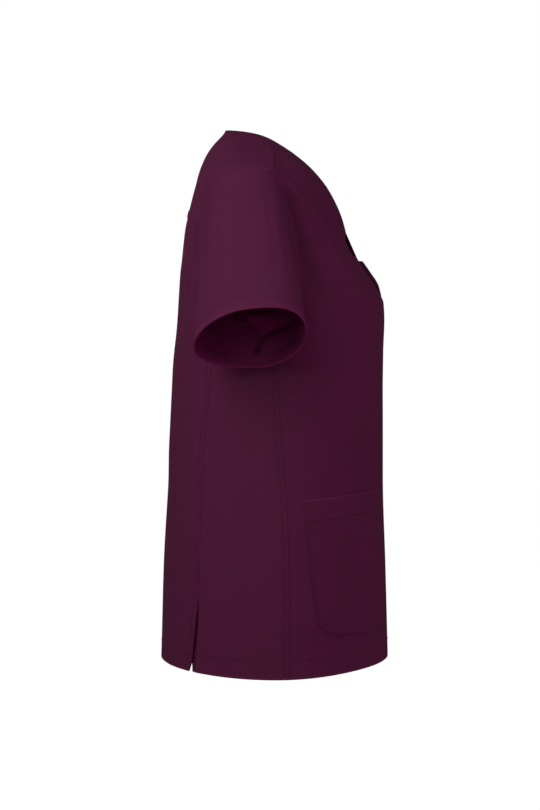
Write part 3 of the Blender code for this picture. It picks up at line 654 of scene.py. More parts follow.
def rim_points(outer, inner, normal, turning, facing):
    """Middle of a rounded rim, half way between both faces and pushed out past the edge.

    It goes out by a share of the thickness at a free edge, and by the turning where the edge is sewn
    and slopes under its neighbour.
    """
    along = np.roll(outer, -1, axis=0) - np.roll(outer, 1, axis=0)
    outwards = unit(np.cross(along, normal)) * facing
    rounding = np.minimum(RIM_SHARE * np.linalg.norm(outer - inner, axis=1), RIM_REACH)
    reach = np.maximum(rounding, turning)[:, None]
    return 0.5 * (outer + inner) + outwards * reach - normal * turning[:, None] * TURNING_SLOPE


def put_mesh(name, points, faces, material):
    mesh = bpy.data.meshes.new(name)
    mesh.from_pydata((points * MM).tolist(), [], faces.tolist())
    mesh.shade_smooth()
    piece = bpy.data.objects.new(name, mesh)
    bpy.context.collection.objects.link(piece)
    mesh.materials.append(material)
    return piece


def cloth(name, outer, thickness, material, closed=False, facing=1.0, seam=FAR, hem=FAR, turning=0.0):
    """Closed shell of cloth on an outer grid, whose normals point out of the garment where facing is 1.

    The inner grid is the outer one moved against its normals by the thickness. The inside attribute
    is 1 where the cloth shows its wrong side.
    """
    rows, columns = outer.shape[:2]
    count = rows * columns
    normal = grid_normals(outer, closed) * facing
    inner = outer - normal * over_grid(thickness, outer)[..., None]
    turning = over_grid(turning, outer).ravel()
    flat_outer, flat_inner, flat_normal = (grid.reshape(-1, 3) for grid in (outer, inner, normal))
    cells = quads(rows, columns, closed)
    index = np.arange(count)
    points, faces, source = [flat_outer, flat_inner], [cells, cells[:, ::-1] + count], [index, index]
    start = 2 * count
    for ring in borders(index.reshape(rows, columns), closed):
        rim_grids = (values[ring] for values in (flat_outer, flat_inner, flat_normal, turning))
        points.append(rim_points(*rim_grids, facing))
        source.append(ring)
        middle = start + np.arange(len(ring))
        next_middle, next_ring = np.roll(middle, -1), np.roll(ring, -1)
        faces.append(np.stack((ring, middle, next_middle, next_ring), axis=-1))
        faces.append(np.stack((middle, ring + count, next_ring + count, next_middle), axis=-1))
        start += len(ring)
    faces, source = np.concatenate(faces), np.concatenate(source)
    piece = put_mesh(name, np.concatenate(points), faces if facing > 0.0 else faces[:, ::-1], material)

    seam, hem = (over_grid(value, outer).ravel()[source] for value in (seam, hem))
    inside = np.repeat((0.0, 1.0, 0.5), (count, count, len(source) - 2 * count))
    for label, values in (("seam", seam), ("hem", hem), ("inside", inside)):
        attribute = piece.data.attributes.new(label, "FLOAT", "POINT")
        attribute.data.foreach_set("value", values.astype(np.float32))
    across, upward = lengths_along(outer, 1), lengths_along(outer, 0)
    centred = across - across[:, columns // 2][:, None]
    weave = np.stack((centred, upward), axis=-1).reshape(-1, 2)[source] * MM
    corners = np.empty(len(piece.data.loops), np.int32)
    piece.data.loops.foreach_get("vertex_index", corners)
    uv = piece.data.uv_layers.new(name="cloth")
    uv.data.foreach_set("uv", weave[corners].astype(np.float32).ravel())

    a, b, c, d = (flat_outer[cells[:, corner]] for corner in range(4))
    area = float(np.sum(np.linalg.norm(np.cross(c - a, d - b), axis=1)) / 2.0 * MM * MM)
    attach(piece, "root")
    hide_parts(name.replace("cloth_", ""))
    "stretched" if name == "cloth_neck_band" else "hung"
    return piece


def layer_share(limit, distance):
    """1 within the limit of a layer, 0 past it, with a soft step between."""
    return smooth_step((limit - distance) / LAYER_STEP)


def seam_relief(distance, topstitched, ridge=SEAM_RIDGE):
    """Roll of the edge into its seam, and the low step over the turnings below."""
    roll = SEAM_ROLL * falling_square(distance, SEAM_ROLL_REACH)
    return ridge * layer_share(TURNINGS_END, topstitched) - roll


def hem_share(depth, distance):
    """1 within a hem of this depth in metres, 0 above it."""
    return layer_share(depth / MM + LAYER_STEP / 2.0, distance)


def turned_thickness(depth, distance):
    cut = bpy.context.scene.scrub_cut
    return mix(cut.cloth, cut.turned, hem_share(depth, distance)) / MM


def sewn_turning(distance, sewn=True):
    return np.where((distance < SEWN) & sewn, TURNING, 0.0)


def points_at(points, along, at):
    """Points of a run at some lengths along it."""
    return np.stack([np.interp(at, along, points[:, axis]) for axis in range(3)], axis=-1)


def thread_rows(name, rows, material):
    """Stitches along rows of points and normals: four squares along each stitch, small at its ends.

    The middle of each stitch lies on the row at even steps; its long way is the row's direction.
    """
    cut = bpy.context.scene.scrub_cut
    stitch, gap, radius = cut.stitch_length / MM, cut.stitch_gap / MM, cut.thread_width / MM / 2.0
    place, size, dip = np.repeat(STITCH_SQUARES, 4, axis=0).T * ((stitch,), (radius,), (radius,))
    square = np.tile(((1, 0), (0, 1), (-1, 0), (0, -1)), (4, 1)) * size[:, None]
    one = np.concatenate((quads(4, 4, True), ((3, 2, 1, 0), (12, 13, 14, 15))))
    points, faces, start = [], [], 0
    for line, normal in rows:
        along = lengths_along(line)
        at = np.arange(0.5 * stitch, along[-1] - 0.4 * stitch, stitch + gap)
        out = unit(points_at(normal, along, at))
        ahead = points_at(line, along, at + 1.0) - points_at(line, along, at - 1.0)
        ahead = unit(ahead - out * np.sum(ahead * out, axis=-1, keepdims=True))
        aside = np.cross(out, ahead)
        made = (points_at(line, along, at)[:, None] + ahead[:, None] * place[:, None]
                + aside[:, None] * square[:, :1] + out[:, None] * (square[:, 1:] * 0.7 + dip[:, None]))
        points.append(made.reshape(-1, 3))
        faces.append((one + (start + 16 * np.arange(len(at)))[:, None, None]).reshape(-1, 4))
        start += 16 * len(at)
    piece = put_mesh(name, np.concatenate(points), np.concatenate(faces), material)
    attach(piece, "root")


def bar_tack(angle, height, stand_off):
    """Short stitches side by side across a line TACK_LENGTH long, which runs round the form."""
    angle, height = np.array(angle), np.array(height)
    centre, normal = on_form(angle, height, stand_off), form_normal(angle, height)
    ahead = unit(form_slopes(angle, height)[0])
    steps = np.arange(-TACK_LENGTH / 2.0, TACK_LENGTH / 2.0, TACK_PITCH)
    ends = np.array((-0.5, 0.5)) * TACK_WIDTH
    lines = centre + ahead * steps[:, None, None] + np.cross(normal, ahead) * ends[:, None]
    return [(line, np.broadcast_to(normal, (2, 3))) for line in lines]


def row_on_form(line, stand_off):
    """A stitched row as points and normals on the folded form."""
    return on_form(*line, stand_off), form_normal(*line)


def both_rows(line, distance):
    """Rows at a distance to the left of a line, and to the right of its mirror image."""
    return [row_on_form(inset_line(line, distance), ROW_STAND_OFF),
            row_on_form(inset_line(mirrored(line), -distance), ROW_STAND_OFF)]


# Shader maths
class Socket:
    """A socket in a shader, with arithmetic that adds the nodes for it."""

    def __init__(self, tree, socket):
        self.tree, self.socket = tree, socket

    def math(self, operation, *others):
        return add_node(self.tree, "ShaderNodeMath", (self,) + others, operation=operation)

    def __add__(self, other):
        return self.math("ADD", other)

    def __sub__(self, other):
        return self.math("SUBTRACT", other)

    def __mul__(self, other):
        return self.math("MULTIPLY", other)

    def __truediv__(self, other):
        return self.math("DIVIDE", other)

    def __rsub__(self, other):
        return add_node(self.tree, "ShaderNodeMath", (other, self), operation="SUBTRACT")

    __radd__ = __add__


def fill(tree, node, values):
    """Set or link the sockets of a node, by place or by name."""
    for key, value in values.items() if isinstance(values, dict) else enumerate(values):
        if isinstance(value, Socket):
            tree.links.new(value.socket, node.inputs[key])
        else:
            node.inputs[key].default_value = value


def add_node(tree, kind, values=(), output=0, **settings):
    """One node with its settings and the values or links of its sockets."""
    node = tree.nodes.new(kind)
    for name, value in settings.items():
        setattr(node, name, value)
    fill(tree, node, values)
    return Socket(tree, node.outputs[output])


def bell(distance, centre, width):
    """A bump that falls off as the exponential of the negative square."""
    offset = (distance - centre) / width
    return (offset * offset * -1.0).math("EXPONENT")


def waves(distance, pitch):
    """Even waves between 0 and 1 along a distance in metres."""
    return (distance * (6.283 / pitch)).math("SINE") * 0.5 + 0.5


def mix_colours(tree, share, first, second):
    return add_node(tree, "ShaderNodeMix", {0: share, 6: first, 7: second}, output=2, data_type="RGBA")


def noise(tree, place, kind):
    return add_node(tree, "ShaderNodeTexNoise", {"Vector": place, "Scale": kind[0], "Detail": kind[1]})


def object_place(tree):
    return add_node(tree, "ShaderNodeTexCoord", output="Object")


def new_material(name):
    material = bpy.data.materials.new(name)
    material.use_nodes = True
    return material, material.node_tree, material.node_tree.nodes["Principled BSDF"]


def scaled(colour, by):
    return tuple(channel * by for channel in colour) + (1.0,)


def twill_material(name, hem_depth=FAR * MM, painted_shade=1.0, inner_painted_shade=1.0, hem_painted_highlight=0.0):
    """Matt twill: fine slanting ribs, mottled dye, grooves and puckers along the stitched rows, with painted
    shade in the rows, inside hems and on darker copies, painted highlights at hem edges, and a wrong side
    lightened as painted light.
    """
    colours = bpy.context.scene.scrub_colours
    material, tree, shader = new_material(name)
    weave = add_node(tree, "ShaderNodeSeparateXYZ", (add_node(tree, "ShaderNodeUVMap", uv_map="cloth"),))
    upward = Socket(tree, weave.socket.node.outputs[1])
    ribs, threads = waves(weave * RIB_SLANT + upward, RIB_PITCH), waves(upward, THREAD_PITCH)
    seam, hem, inside = (add_node(tree, "ShaderNodeAttribute", output="Fac", attribute_name=label)
                         for label in ("seam", "hem", "inside"))
    place = object_place(tree)
    pucker, mottle, slub, soft = (noise(tree, place, kind) for kind in (PUCKERS, MOTTLING, SLUBS, SOFTNESS))

    hem_row = hem_depth / MM
    middle = sum(STITCH_ROWS) / 2.0
    near, far = (bell(seam, row, width) for row, width in zip(STITCH_ROWS, ROW_WIDTHS))
    rows = near + far + bell(hem, hem_row, HEM_ROW_WIDTH)
    near_rows = bell(seam, middle, PUCKER_WIDTH) + bell(hem, hem_row, HEM_PUCKER_WIDTH)
    tone = (mottle - 0.5) * MOTTLING_TONE + (slub - 0.5) * SLUB_TONE + (ribs - 0.5) * RIB_TONE + 0.5
    # Darker stitched rows as painted shade, a lighter ridge between them, and a painted highlight at a hem's
    # free edge.
    tone = tone - rows * ROW_PAINTED_SHADE_AND_RIDGE_TONE + bell(seam, middle, 1.6) * ROW_PAINTED_SHADE_AND_RIDGE_TONE + bell(hem, 0.0, 1.8) * EDGE_PAINTED_HIGHLIGHT
    # Painted highlight over a sleeve's turned hem, which is lighter as it catches the light.
    tone = (tone + bell(hem, 2.0, 9.0) * hem_painted_highlight).math("MAXIMUM", 0.0).math("MINIMUM", 1.0)
    # A piece can ask for a darker copy of the cloth as painted shade.
    right_side = mix_colours(tree, tone, scaled(colours.cloth, 0.72 * painted_shade),
                             scaled(colours.cloth, 1.28 * painted_shade))
    # The wrong side's tone, darker just inside a hem as painted shade.
    inner_tone = (tone * 0.4 + 0.3 - bell(hem, 4.0, 9.0) * INNER_HEM_PAINTED_SHADE).math("MAXIMUM", 0.0)
    # Wrong side: a lighter, redder colour than the cloth as painted light inside the garment, darkened where
    # a piece asks for painted shadow on its inner face.
    wrong_side_with_painted_light = mix_colours(tree, inner_tone, scaled(colours.wrong_side_with_painted_light, 0.2 * inner_painted_shade),
                             scaled(colours.wrong_side_with_painted_light, 1.8 * inner_painted_shade))

    height = (ribs * RIB_HEIGHT + threads * THREAD_HEIGHT + slub * SLUB_HEIGHT - rows * ROW_DEPTH
              + pucker * near_rows * PUCKER_HEIGHT + soft * SOFT_HEIGHT)
    fill(tree, shader, {
        "Base Color": mix_colours(tree, inside, right_side, wrong_side_with_painted_light),
        "Roughness": 0.82 + (ribs - 0.5) * 0.08 + (mottle - 0.5) * 0.06,
        "Normal": add_node(tree, "ShaderNodeBump", {"Strength": 0.9, "Distance": 1.0, "Height": height}),
        "Specular IOR Level": 0.08,
        "Sheen Weight": colours.sheen,
        "Sheen Roughness": 0.45,
        "Sheen Tint": (0.9, 0.62, 0.78, 1.0),
    })
    return material


def thread_material():
    """Twisted sewing thread: slanting plies with a little shine."""
    colours = bpy.context.scene.scrub_colours
    material, tree, shader = new_material("sewing_thread")
    plies = noise(tree, object_place(tree), PLIES)
    fill(tree, shader, {
        "Base Color": mix_colours(tree, plies, scaled(colours.thread, 0.7), scaled(colours.thread, 1.3)),
        "Roughness": 0.45 + plies * 0.2,
        "Specular IOR Level": 0.07,
    })
    return material


def floor_material():
    """Pale studio paper with a faint tooth."""
    colours = bpy.context.scene.scrub_colours
    material, tree, shader = new_material("studio_paper")
    tooth = noise(tree, object_place(tree), PAPER_TOOTH)
    fill(tree, shader, {
        "Base Color": mix_colours(tree, tooth, scaled(colours.floor, 0.99), scaled(colours.floor, 1.0)),
        "Roughness": 0.9,
        "Specular IOR Level": 0.1,
        "Emission Color": WHITE,
        "Emission Strength": colours.floor_glow,
    })
    return material


# Sizes and colours
def number(name, default, description, **limits):
    return FloatProperty(name=name, description=description, default=default, **limits)


def length(name, default, description):
    return number(name, default, description, unit="LENGTH")


def power(name, default, description):
    return number(name, default, description, unit="POWER")


def colour(name, default, description):
    return FloatVectorProperty(name=name, description=description, default=default, subtype="COLOR",
                               size=3, min=0.0, max=1.0)


class ScrubCut(bpy.types.PropertyGroup):
    """Sizes of the cloth and of the sewing."""
    cell: length("Cell", 0.0036, "Size of the cloth's cells")
    cloth: length("Cloth", 0.0009, "Thickness of one layer")
    turned: length("Turned hem", 0.0022, "Thickness of a turned hem")
    doubled: length("Neck band", 0.0016, "Thickness of the doubled neck band")
    body_hem: length("Body hem", 0.021, "Depth of the body's hem")
    sleeve_hem: length("Sleeve hem", 0.014, "Depth of a sleeve's hem")
    pocket_hem: length("Pocket hem", 0.025, "Depth of a pocket's hem")
    pocket_layer: length("Pocket layer", 0.0007, "What a pocket's hem adds to its thickness")
    stitch_length: length("Stitch", 0.0027, "Length of one stitch")
    stitch_gap: length("Stitch gap", 0.0007, "Gap between stitches")
    thread_width: length("Thread", 0.00055, "Width of the thread")
    crease_strength: number("Creases", 1.0, "Strength of the finer creases", min=0.0, max=2.0)


class ScrubColours(bpy.types.PropertyGroup):
    """Colours of the cloth, the thread and the floor."""
    cloth: colour("Cloth", (0.110, 0.0106, 0.0530), "Colour of the twill")
    # The wrong side is lighter and redder than the cloth: painted light, as if light reached into the sleeves
    # and the garment's hollows.
    wrong_side_with_painted_light: colour("Wrong side", (0.165, 0.0060, 0.0700), "Colour of the cloth's wrong side")
    thread: colour("Thread", (0.122, 0.0150, 0.0610), "Colour of the thread")
    floor: colour("Floor", (0.93, 0.93, 0.93), "Colour of the studio floor")
    floor_glow: number("Floor glow", 0.85, "Light that the lit floor gives off", min=0.0, max=2.0)
    sheen: number("Sheen", 0.002, "Soft sheen of the brushed cloth", min=0.0, max=1.0)


class ScrubStudio(bpy.types.PropertyGroup):
    """Light and camera."""
    key_power: power("Key light", 9.9, "Power of the soft light beside the garment")
    left_power: power("Left light", 9.5, "Power of the soft light on the other side")
    front_power: power("Front light", 9.8, "Power of the soft light in front")
    gloss_power: power("Gloss light", 25.0, "Power of the light that only gives the soft gloss")
    sleeve_power: power("Sleeve light", 0.13, "Power of the small light over the right sleeve")
    key_size: length("Key size", 1.0, "Side of the key and the gloss light")
    fill_size: length("Fill size", 1.4, "Side of the left and the front light")
    sleeve_light_size: length("Sleeve light size", 0.4, "Side of the sleeve light")
    surround: number("Surround", 0.17, "Light that the white surround gives")
    bounce: number("Bounce", 0.34, "Light that comes up from the pale floor")
    floor_height: length("Floor height", -1.37, "Height of the floor")
    floor_reach: length("Floor reach", 40.0, "Half the width of the floor")
    camera_distance: length("Camera distance", 2.45, "Distance from the middle of the body")
    camera_height: length("Camera height", -0.3315, "Height of the camera")
    camera_forward: length("Camera place", -0.0535, "Place of the camera along the garment's depth")
    lens: number("Lens", 87.11, "Focal length", subtype="DISTANCE_CAMERA")


# Panels
def spread_rows(angle, top, side_height):
    """Rows between the hem and the top edge, at the shares of the height that the side edge has."""
    rise = ((side_height - side_height[0]) / (side_height[-1] - side_height[0]))[:, None]
    return angle, mix(hem_height(angle[0]), top, rise)


def front_map():
    """Grid of the front: columns share the top edge and lean with the side edge by a cube of their place."""
    side_angle, side_height = joined(side_edge("front_angle", FRONT_SEAM_ROW),
                                     armhole_arc(FRONT_SEAM_ROW, SHOULDER_SEAM_ROW))
    angle, height = joined(shoulder_seam(), even_steps(neck_seam()[1], FRONT_NECK_CELLS))
    share = np.append(-angle, angle[-2::-1]) / side_angle[-1]
    lean = share ** 3 * (side_angle - side_angle[-1])[:, None]
    return spread_rows(share * side_angle[-1] + lean, np.append(height, height[-2::-1]), side_height)


def back_map():
    """Grid of the back, from its left vent edge round the centre back to its right one."""
    side_angle, side_height = joined(side_edge("back_angle", BACK_SEAM_ROW, VENT_SPREAD),
                                     armhole_arc(BACK_SEAM_ROW, YOKE_SEAM_ROW))
    share = np.linspace(-1.0, 1.0, 161)
    return spread_rows(180.0 + share * (180.0 - side_angle[:, None]), yoke_seam(share)[1], side_height)


def side_map(side):
    """Grid of a side panel, between its front and back seams, up to the underarm."""
    arc_angle, arc_height = (values[::-1] for values in armhole_arc(BACK_SEAM_ROW, len(ARMHOLE)))
    share = (arc_angle - arc_angle[0]) / (arc_angle[-1] - arc_angle[0])
    ahead, behind = (side_edge(*edge)[0][:, None] for edge in (FRONT_EDGE, BACK_EDGE))
    angle = mix(ahead, behind, share)
    return side * angle, mix(hem_height(angle[0]), arc_height, np.linspace(0.0, 1.0, SIDE_POINTS)[:, None])


def neck_back_run(line):
    """The part of a neck line behind the shoulder seam, split where the yoke's corner joins it."""
    split = int(DENSE * YOKE_CORNER_PLACE)
    return joined(*(even_steps((line[0][part], line[1][part]), BACK_NECK_CELLS)
                    for part in (slice(split + 1), slice(split, None))))


def two_halves(right, left):
    """The halves of a grid that both start at the centre back, put side by side there."""
    return np.append(right[:, :0:-1], left, axis=1)


def yoke_map():
    """Grid of the yoke: straight rays from its outer edge to the neck seam, on both sides."""
    arm = [values[::-1] for values in armhole_arc(SHOULDER_SEAM_ROW, YOKE_SEAM_ROW, BACK_NECK_CELLS)]
    outer = joined(even_steps(yoke_seam(YOKE_SHARES), BACK_NECK_CELLS), arm)
    across = np.linspace(0.0, 1.0, 31)[:, None]
    angle, height = (mix(rim, neck, across) for rim, neck in zip(outer, neck_back_run(neck_seam()[0])))
    return two_halves(360.0 - angle, angle), two_halves(height, height)


def panel(name, grid, stitched, sewn, material, hems=(), extra=0.0, facing=1.0):
    """A panel of cloth on the form, with its edges rolled into the seams named for it."""
    cut = bpy.context.scene.scrub_cut
    angle, height = respaced(*grid, cut.cell / MM)
    plain = plain_form(angle, height)
    edge, row, hem = (distance_to(plain, [plain_form(*line) for line in lines])
                      for lines in (stitched + sewn, stitched, hems))
    past, step = FELLED_EDGE
    stand_off = seam_relief(edge, row) + extra * smooth_step((past - row) / step)
    cloth(name, on_form(angle, height, stand_off), turned_thickness(cut.body_hem, hem), material,
          facing=facing, seam=row, hem=hem, turning=sewn_turning(edge))


class SCRUB_OT_front(bpy.types.Operator):
    """Make the front, from the hem to the neck seam and the shoulder seams"""
    bl_idname = "scrub.front"
    bl_label = "Front"

    def execute(self, context):
        twill = twill_material("front_twill", context.scene.scrub_cut.body_hem)
        stitched = both(side_edge(*FRONT_EDGE)) + both(shoulder_seam()) + both(neck_seam()[1])
        sewn = both(armhole_arc(FRONT_SEAM_ROW, SHOULDER_SEAM_ROW))
        panel("cloth_front", front_map(), stitched, sewn, twill, [hem_line(*FRONT_HEM)])
        return {"FINISHED"}


class SCRUB_OT_back(bpy.types.Operator):
    """Make the back, from the hem to the yoke seam, with a vent at each lower corner"""
    bl_idname = "scrub.back"
    bl_label = "Back"

    def execute(self, context):
        twill = twill_material("back_twill", context.scene.scrub_cut.body_hem)
        sewn = both(armhole_arc(YOKE_SEAM_ROW, BACK_SEAM_ROW)) + both(yoke_seam(YOKE_SHARES))
        panel("cloth_back", back_map(), both(side_edge(*BACK_EDGE, VENT_SPREAD)), sewn, twill,
              [hem_line(*BACK_HEM)])
        return {"FINISHED"}


class SCRUB_OT_yoke(bpy.types.Operator):
    """Make the back yoke, which runs over both shoulders"""
    bl_idname = "scrub.yoke"
    bl_label = "Back yoke"

    def execute(self, context):
        twill = twill_material("yoke_twill")
        stitched = both(yoke_seam(YOKE_SHARES)) + both(shoulder_seam()) + both(neck_seam()[0])
        sewn = both(armhole_arc(SHOULDER_SEAM_ROW, YOKE_SEAM_ROW))
        panel("cloth_yoke", yoke_map(), stitched, sewn, twill, extra=YOKE_RISE, facing=-1.0)
        return {"FINISHED"}


class SCRUB_OT_side_panels(bpy.types.Operator):
    """Make both side panels, from the hem to the underarm"""
    bl_idname = "scrub.side_panels"
    bl_label = "Side panels"

    def execute(self, context):
        twill = twill_material("side_panel_twill", context.scene.scrub_cut.body_hem)
        lines = side_edge(*FRONT_EDGE), side_edge(*BACK_EDGE), armhole_arc(BACK_SEAM_ROW, len(ARMHOLE))
        for word, side in SIDES:
            sewn = [(side * angle, height) for angle, height in lines]
            hem = hem_line(side * SIDE_HEM[0], side * SIDE_HEM[1], SIDE_HEM_POINTS)
            panel("cloth_side_panel_" + word, side_map(side), [], sewn, twill, [hem], facing=side)
        return {"FINISHED"}


# Neck band
def neck_band_map():
    """Grid of the neck band from its free edge to its seam, and how far each column is from its front end."""
    lines = cut_line(neck_line(*NECK_EDGE, LAP_TIP), SHOULDER_LINE_EDGE_HEIGHT), neck_seam()
    edge, seam = (joined(neck_back_run(back), even_steps(front, BAND_CELLS)) for back, front in lines)
    across = np.linspace(0.0, 1.0, 17)[:, None]
    angle, height = (mix(free, sewn, across) for free, sewn in zip(edge, seam))
    along = lengths_along(plain_form(*seam))
    return angle, height, np.broadcast_to(along[-1] - along, angle.shape)


def band_stand_off(angle, height, before_end):
    """Stand-off of the left half, whose end steps up onto the right half, and of the right half.

    Above the lap both free edges part, by the same soft bell of their height: the left one stands off
    by a falling power of the share across the band, and the right one dips by the share itself. The
    third grid is 1 where the left half lies on the right one.
    """
    share = np.linspace(0.0, 1.0, len(angle))[:, None]
    edge_height = height[:1]
    start, widest, narrower, closed = GAPE_HEIGHTS
    gape = smooth_step((start - edge_height) / (start - widest))
    gape = gape * smooth_step((edge_height - closed) / (narrower - closed)) * (np.abs(angle[:1]) < 89.0)
    over = GAPE * gape * (1.0 - share) ** 1.5
    lap = LAP_STAND_OFF * (1.0 - LAP_FALL * share ** 2)
    lapped = smooth_step((LAP_LENGTH + LAP_STEP - before_end) / LAP_STEP)
    return mix(over, lap, lapped), -LOW_EDGE * gape * (1.0 - share), lapped


def band_columns(along, cell):
    """Even places along the band, with six close ones where its end steps up."""
    step = along[-1] - LAP_LENGTH - LAP_STEP * np.linspace(-0.6, 1.6, 6)
    step = np.interp(step, along, np.arange(len(along)))
    columns = places(along, cell)
    clear = np.abs(columns[:, None] - step).min(axis=1) > 0.6
    return np.sort(np.append(columns[clear], step))[None, :]


class SCRUB_OT_neck_band(bpy.types.Operator):
    """Make the doubled neck band, its left end lapped over its right end"""
    bl_idname = "scrub.neck_band"
    bl_label = "Neck band"

    def execute(self, context):
        cut = context.scene.scrub_cut
        # The band's wrong side is darkened to 0.62 of the wrong-side colour: painted shadow inside the neck
        # opening.
        twill = twill_material("neck_band_twill", inner_painted_shade=0.62)
        angle, height, before_end = neck_band_map()
        over, under, lapped = band_stand_off(angle, height, before_end)
        grids = (two_halves(360.0 - angle, angle), two_halves(height, height),
                 two_halves(under, over), two_halves(0.0 * lapped, lapped))
        columns = band_columns(lengths_along(plain_form(grids[0][-1], grids[1][-1])), cut.cell / MM)
        rows = places(lengths_along(plain_form(grids[0][:, 0], grids[1][:, 0])), BAND_CELL)[:, None]
        angle, height, rise, lapped = (between(grid, rows, columns) for grid in grids)
        plain = plain_form(angle, height)
        edge, free = distance_to(plain, [plain[-1]]), distance_to(plain, [plain[0]])
        swell = BAND_SWELL * np.sin(np.pi * np.clip(free / BAND_WIDTH, 0.0, 1.0))
        rise = rise + seam_relief(edge, FAR) + swell
        thickness = mix(cut.doubled / MM, np.maximum(rise - LAP_CLEARANCE, THINNEST_END), lapped)
        cloth("cloth_neck_band", on_form(angle, height, rise), thickness, twill, seam=free + 0.2,
              turning=sewn_turning(edge, lapped < 0.01))
        return {"FINISHED"}


# Sleeves
def armhole_ring():
    """Armhole seam from the middle of the underarm forwards, as angles and heights."""
    rows = (FRONT_SEAM_ROW, SHOULDER_SEAM_ROW, YOKE_SEAM_ROW, BACK_SEAM_ROW, len(ARMHOLE))
    arcs = [armhole_arc(first, last, SLEEVE_CELLS) for first, last in zip(rows, rows[1:])]
    return tuple(np.concatenate([arc[part][:-1] for arc in arcs]) for part in (0, 1))


def sleeve_surface(side, shares):
    """Rings of a sleeve and the place of each point round it.

    Each point runs on a cubic from the armhole to the outline of the opening. It leaves along the
    body's tangent turned towards the sleeve's axis, and arrives along the axis.
    """
    angle, height = armhole_ring()
    outward = np.array((side, 0.0, 0.0))
    ring = on_form(side * angle, height) + outward * 0.1
    around = lengths_along(np.append(ring, ring[:1], axis=0))
    around = around[:-1] / around[-1]
    place = (around - around[np.argmin(ring[:, 2])]) % 1.0
    forward_up = closed_curve(CUFF, place * len(CUFF))
    mirror = np.array((side, -1.0, 1.0))
    centre, up, ahead, axis = (mirror * way for way in (CUFF_CENTRE, CUFF_UP, CUFF_FORWARD, SLEEVE_AXIS))
    cuff = centre + forward_up[:, :1] * ahead + forward_up[:, 1:] * up
    length = np.linalg.norm(cuff - ring, axis=1, keepdims=True)
    normal = form_normal(side * angle, height)
    leave = unit((outward - normal * (normal @ outward)[:, None]) * (1.0, CAP_TURN, 1.0) + axis)
    leave, arrive = leave * length * CAP_PUSH, axis * length * CUFF_PUSH
    return cubic(shares[:, None, None], ring, leave, cuff, arrive), place


def sleeve_fold_depth(from_seam, place, side):
    """Folds of a sleeve; those of the left one are shallower."""
    total = np.zeros(from_seam.shape)
    for start_length, start_place, end_length, end_place, depth, width in SLEEVE_FOLDS:
        run = (end_length - start_length, (end_place - start_place) * SLEEVE_ROUND)
        around = wrapped(place - start_place, 1.0) * SLEEVE_ROUND
        total = total + depth * fold_share(from_seam - start_length, around, run, width, SLEEVE_TAPER)
    return total * (SLEEVE_STRENGTH - SLEEVE_DIFFERENCE * side)


def sleeve_shell(side):
    """Outer grid of a sleeve with its folds and relief, and distances from its seam and its hem."""
    coarse, _ = sleeve_surface(side, np.linspace(0.0, 1.0, COARSE_RINGS))
    along = lengths_along(coarse[:, ::17]).mean(axis=1)
    points, place = sleeve_surface(side, places(along, SLEEVE_CELL) / (COARSE_RINGS - 1))
    from_seam = lengths_along(points)
    from_hem = from_seam[-1] - from_seam
    normal = grid_normals(points, True) * -side
    rise = sleeve_fold_depth(from_seam, place[None, :], side)
    rise = rise * smooth_step(from_seam / SLEEVE_FOLD_ENDS[0]) * smooth_step(from_hem / SLEEVE_FOLD_ENDS[1])
    rise = rise + seam_relief(from_seam, from_seam, SLEEVE_RIDGE)
    rise = rise + HEM_FLARE * falling_square(from_hem, FLARE_REACH)
    return points + normal * rise[..., None], normal, from_seam, from_hem


class SCRUB_OT_sleeves(bpy.types.Operator):
    """Make both set-in sleeves with their turned hems"""
    bl_idname = "scrub.sleeves"
    bl_label = "Sleeves"

    def execute(self, context):
        hem = context.scene.scrub_cut.sleeve_hem
        # The sleeves' hems are lightened as a painted highlight.
        twill = twill_material("sleeve_twill", hem, hem_painted_highlight=0.16)
        for word, side in SIDES:
            points, _, from_seam, from_hem = sleeve_shell(side)
            cloth("cloth_sleeve_" + word, points, turned_thickness(hem, from_hem), twill, closed=True,
                  facing=-side, hem=from_hem, turning=sewn_turning(from_seam))
        return {"FINISHED"}


# Pockets and facings
def angle_round(distance, height):
    """Angle at a distance round the form from the centre front, read from a table of arc lengths."""
    angles, heights = np.linspace(0.0, 120.0, 241), np.linspace(-650.0, -400.0, 51)
    wanted = np.linspace(0.0, 260.0, 261)
    rows = [np.interp(wanted, lengths_along(plain_form(angles, np.full(241, z))), angles) for z in heights]
    return between(np.stack(rows), (height - heights[0]) / (heights[1] - heights[0]), distance)


def pocket_outline(inset):
    """Sides and foot of a pocket from its outer top corner down and round to its inner one, moved in."""
    turn = np.linspace(0.0, np.pi / 2.0, 16)
    radius = POCKET_CORNER - inset
    outer, outer_foot = POCKET_OUTER[1] - POCKET_CORNER, POCKET_FOOT[1] + POCKET_CORNER
    inner, inner_foot = POCKET_INNER + POCKET_CORNER, POCKET_FOOT[0] + POCKET_CORNER
    distance = np.concatenate(((POCKET_OUTER[0] - inset,), outer + radius * np.cos(turn),
                               inner - radius * np.sin(turn), (POCKET_INNER + inset,)))
    height = np.concatenate(((POCKET_TOP[1],), outer_foot - radius * np.sin(turn),
                             inner_foot - radius * np.cos(turn), (POCKET_TOP[0],)))
    along = lengths_along(np.stack((distance, height), axis=-1))
    even = np.linspace(0.0, along[-1], 260)
    return np.interp(even, along, distance), np.interp(even, along, height)


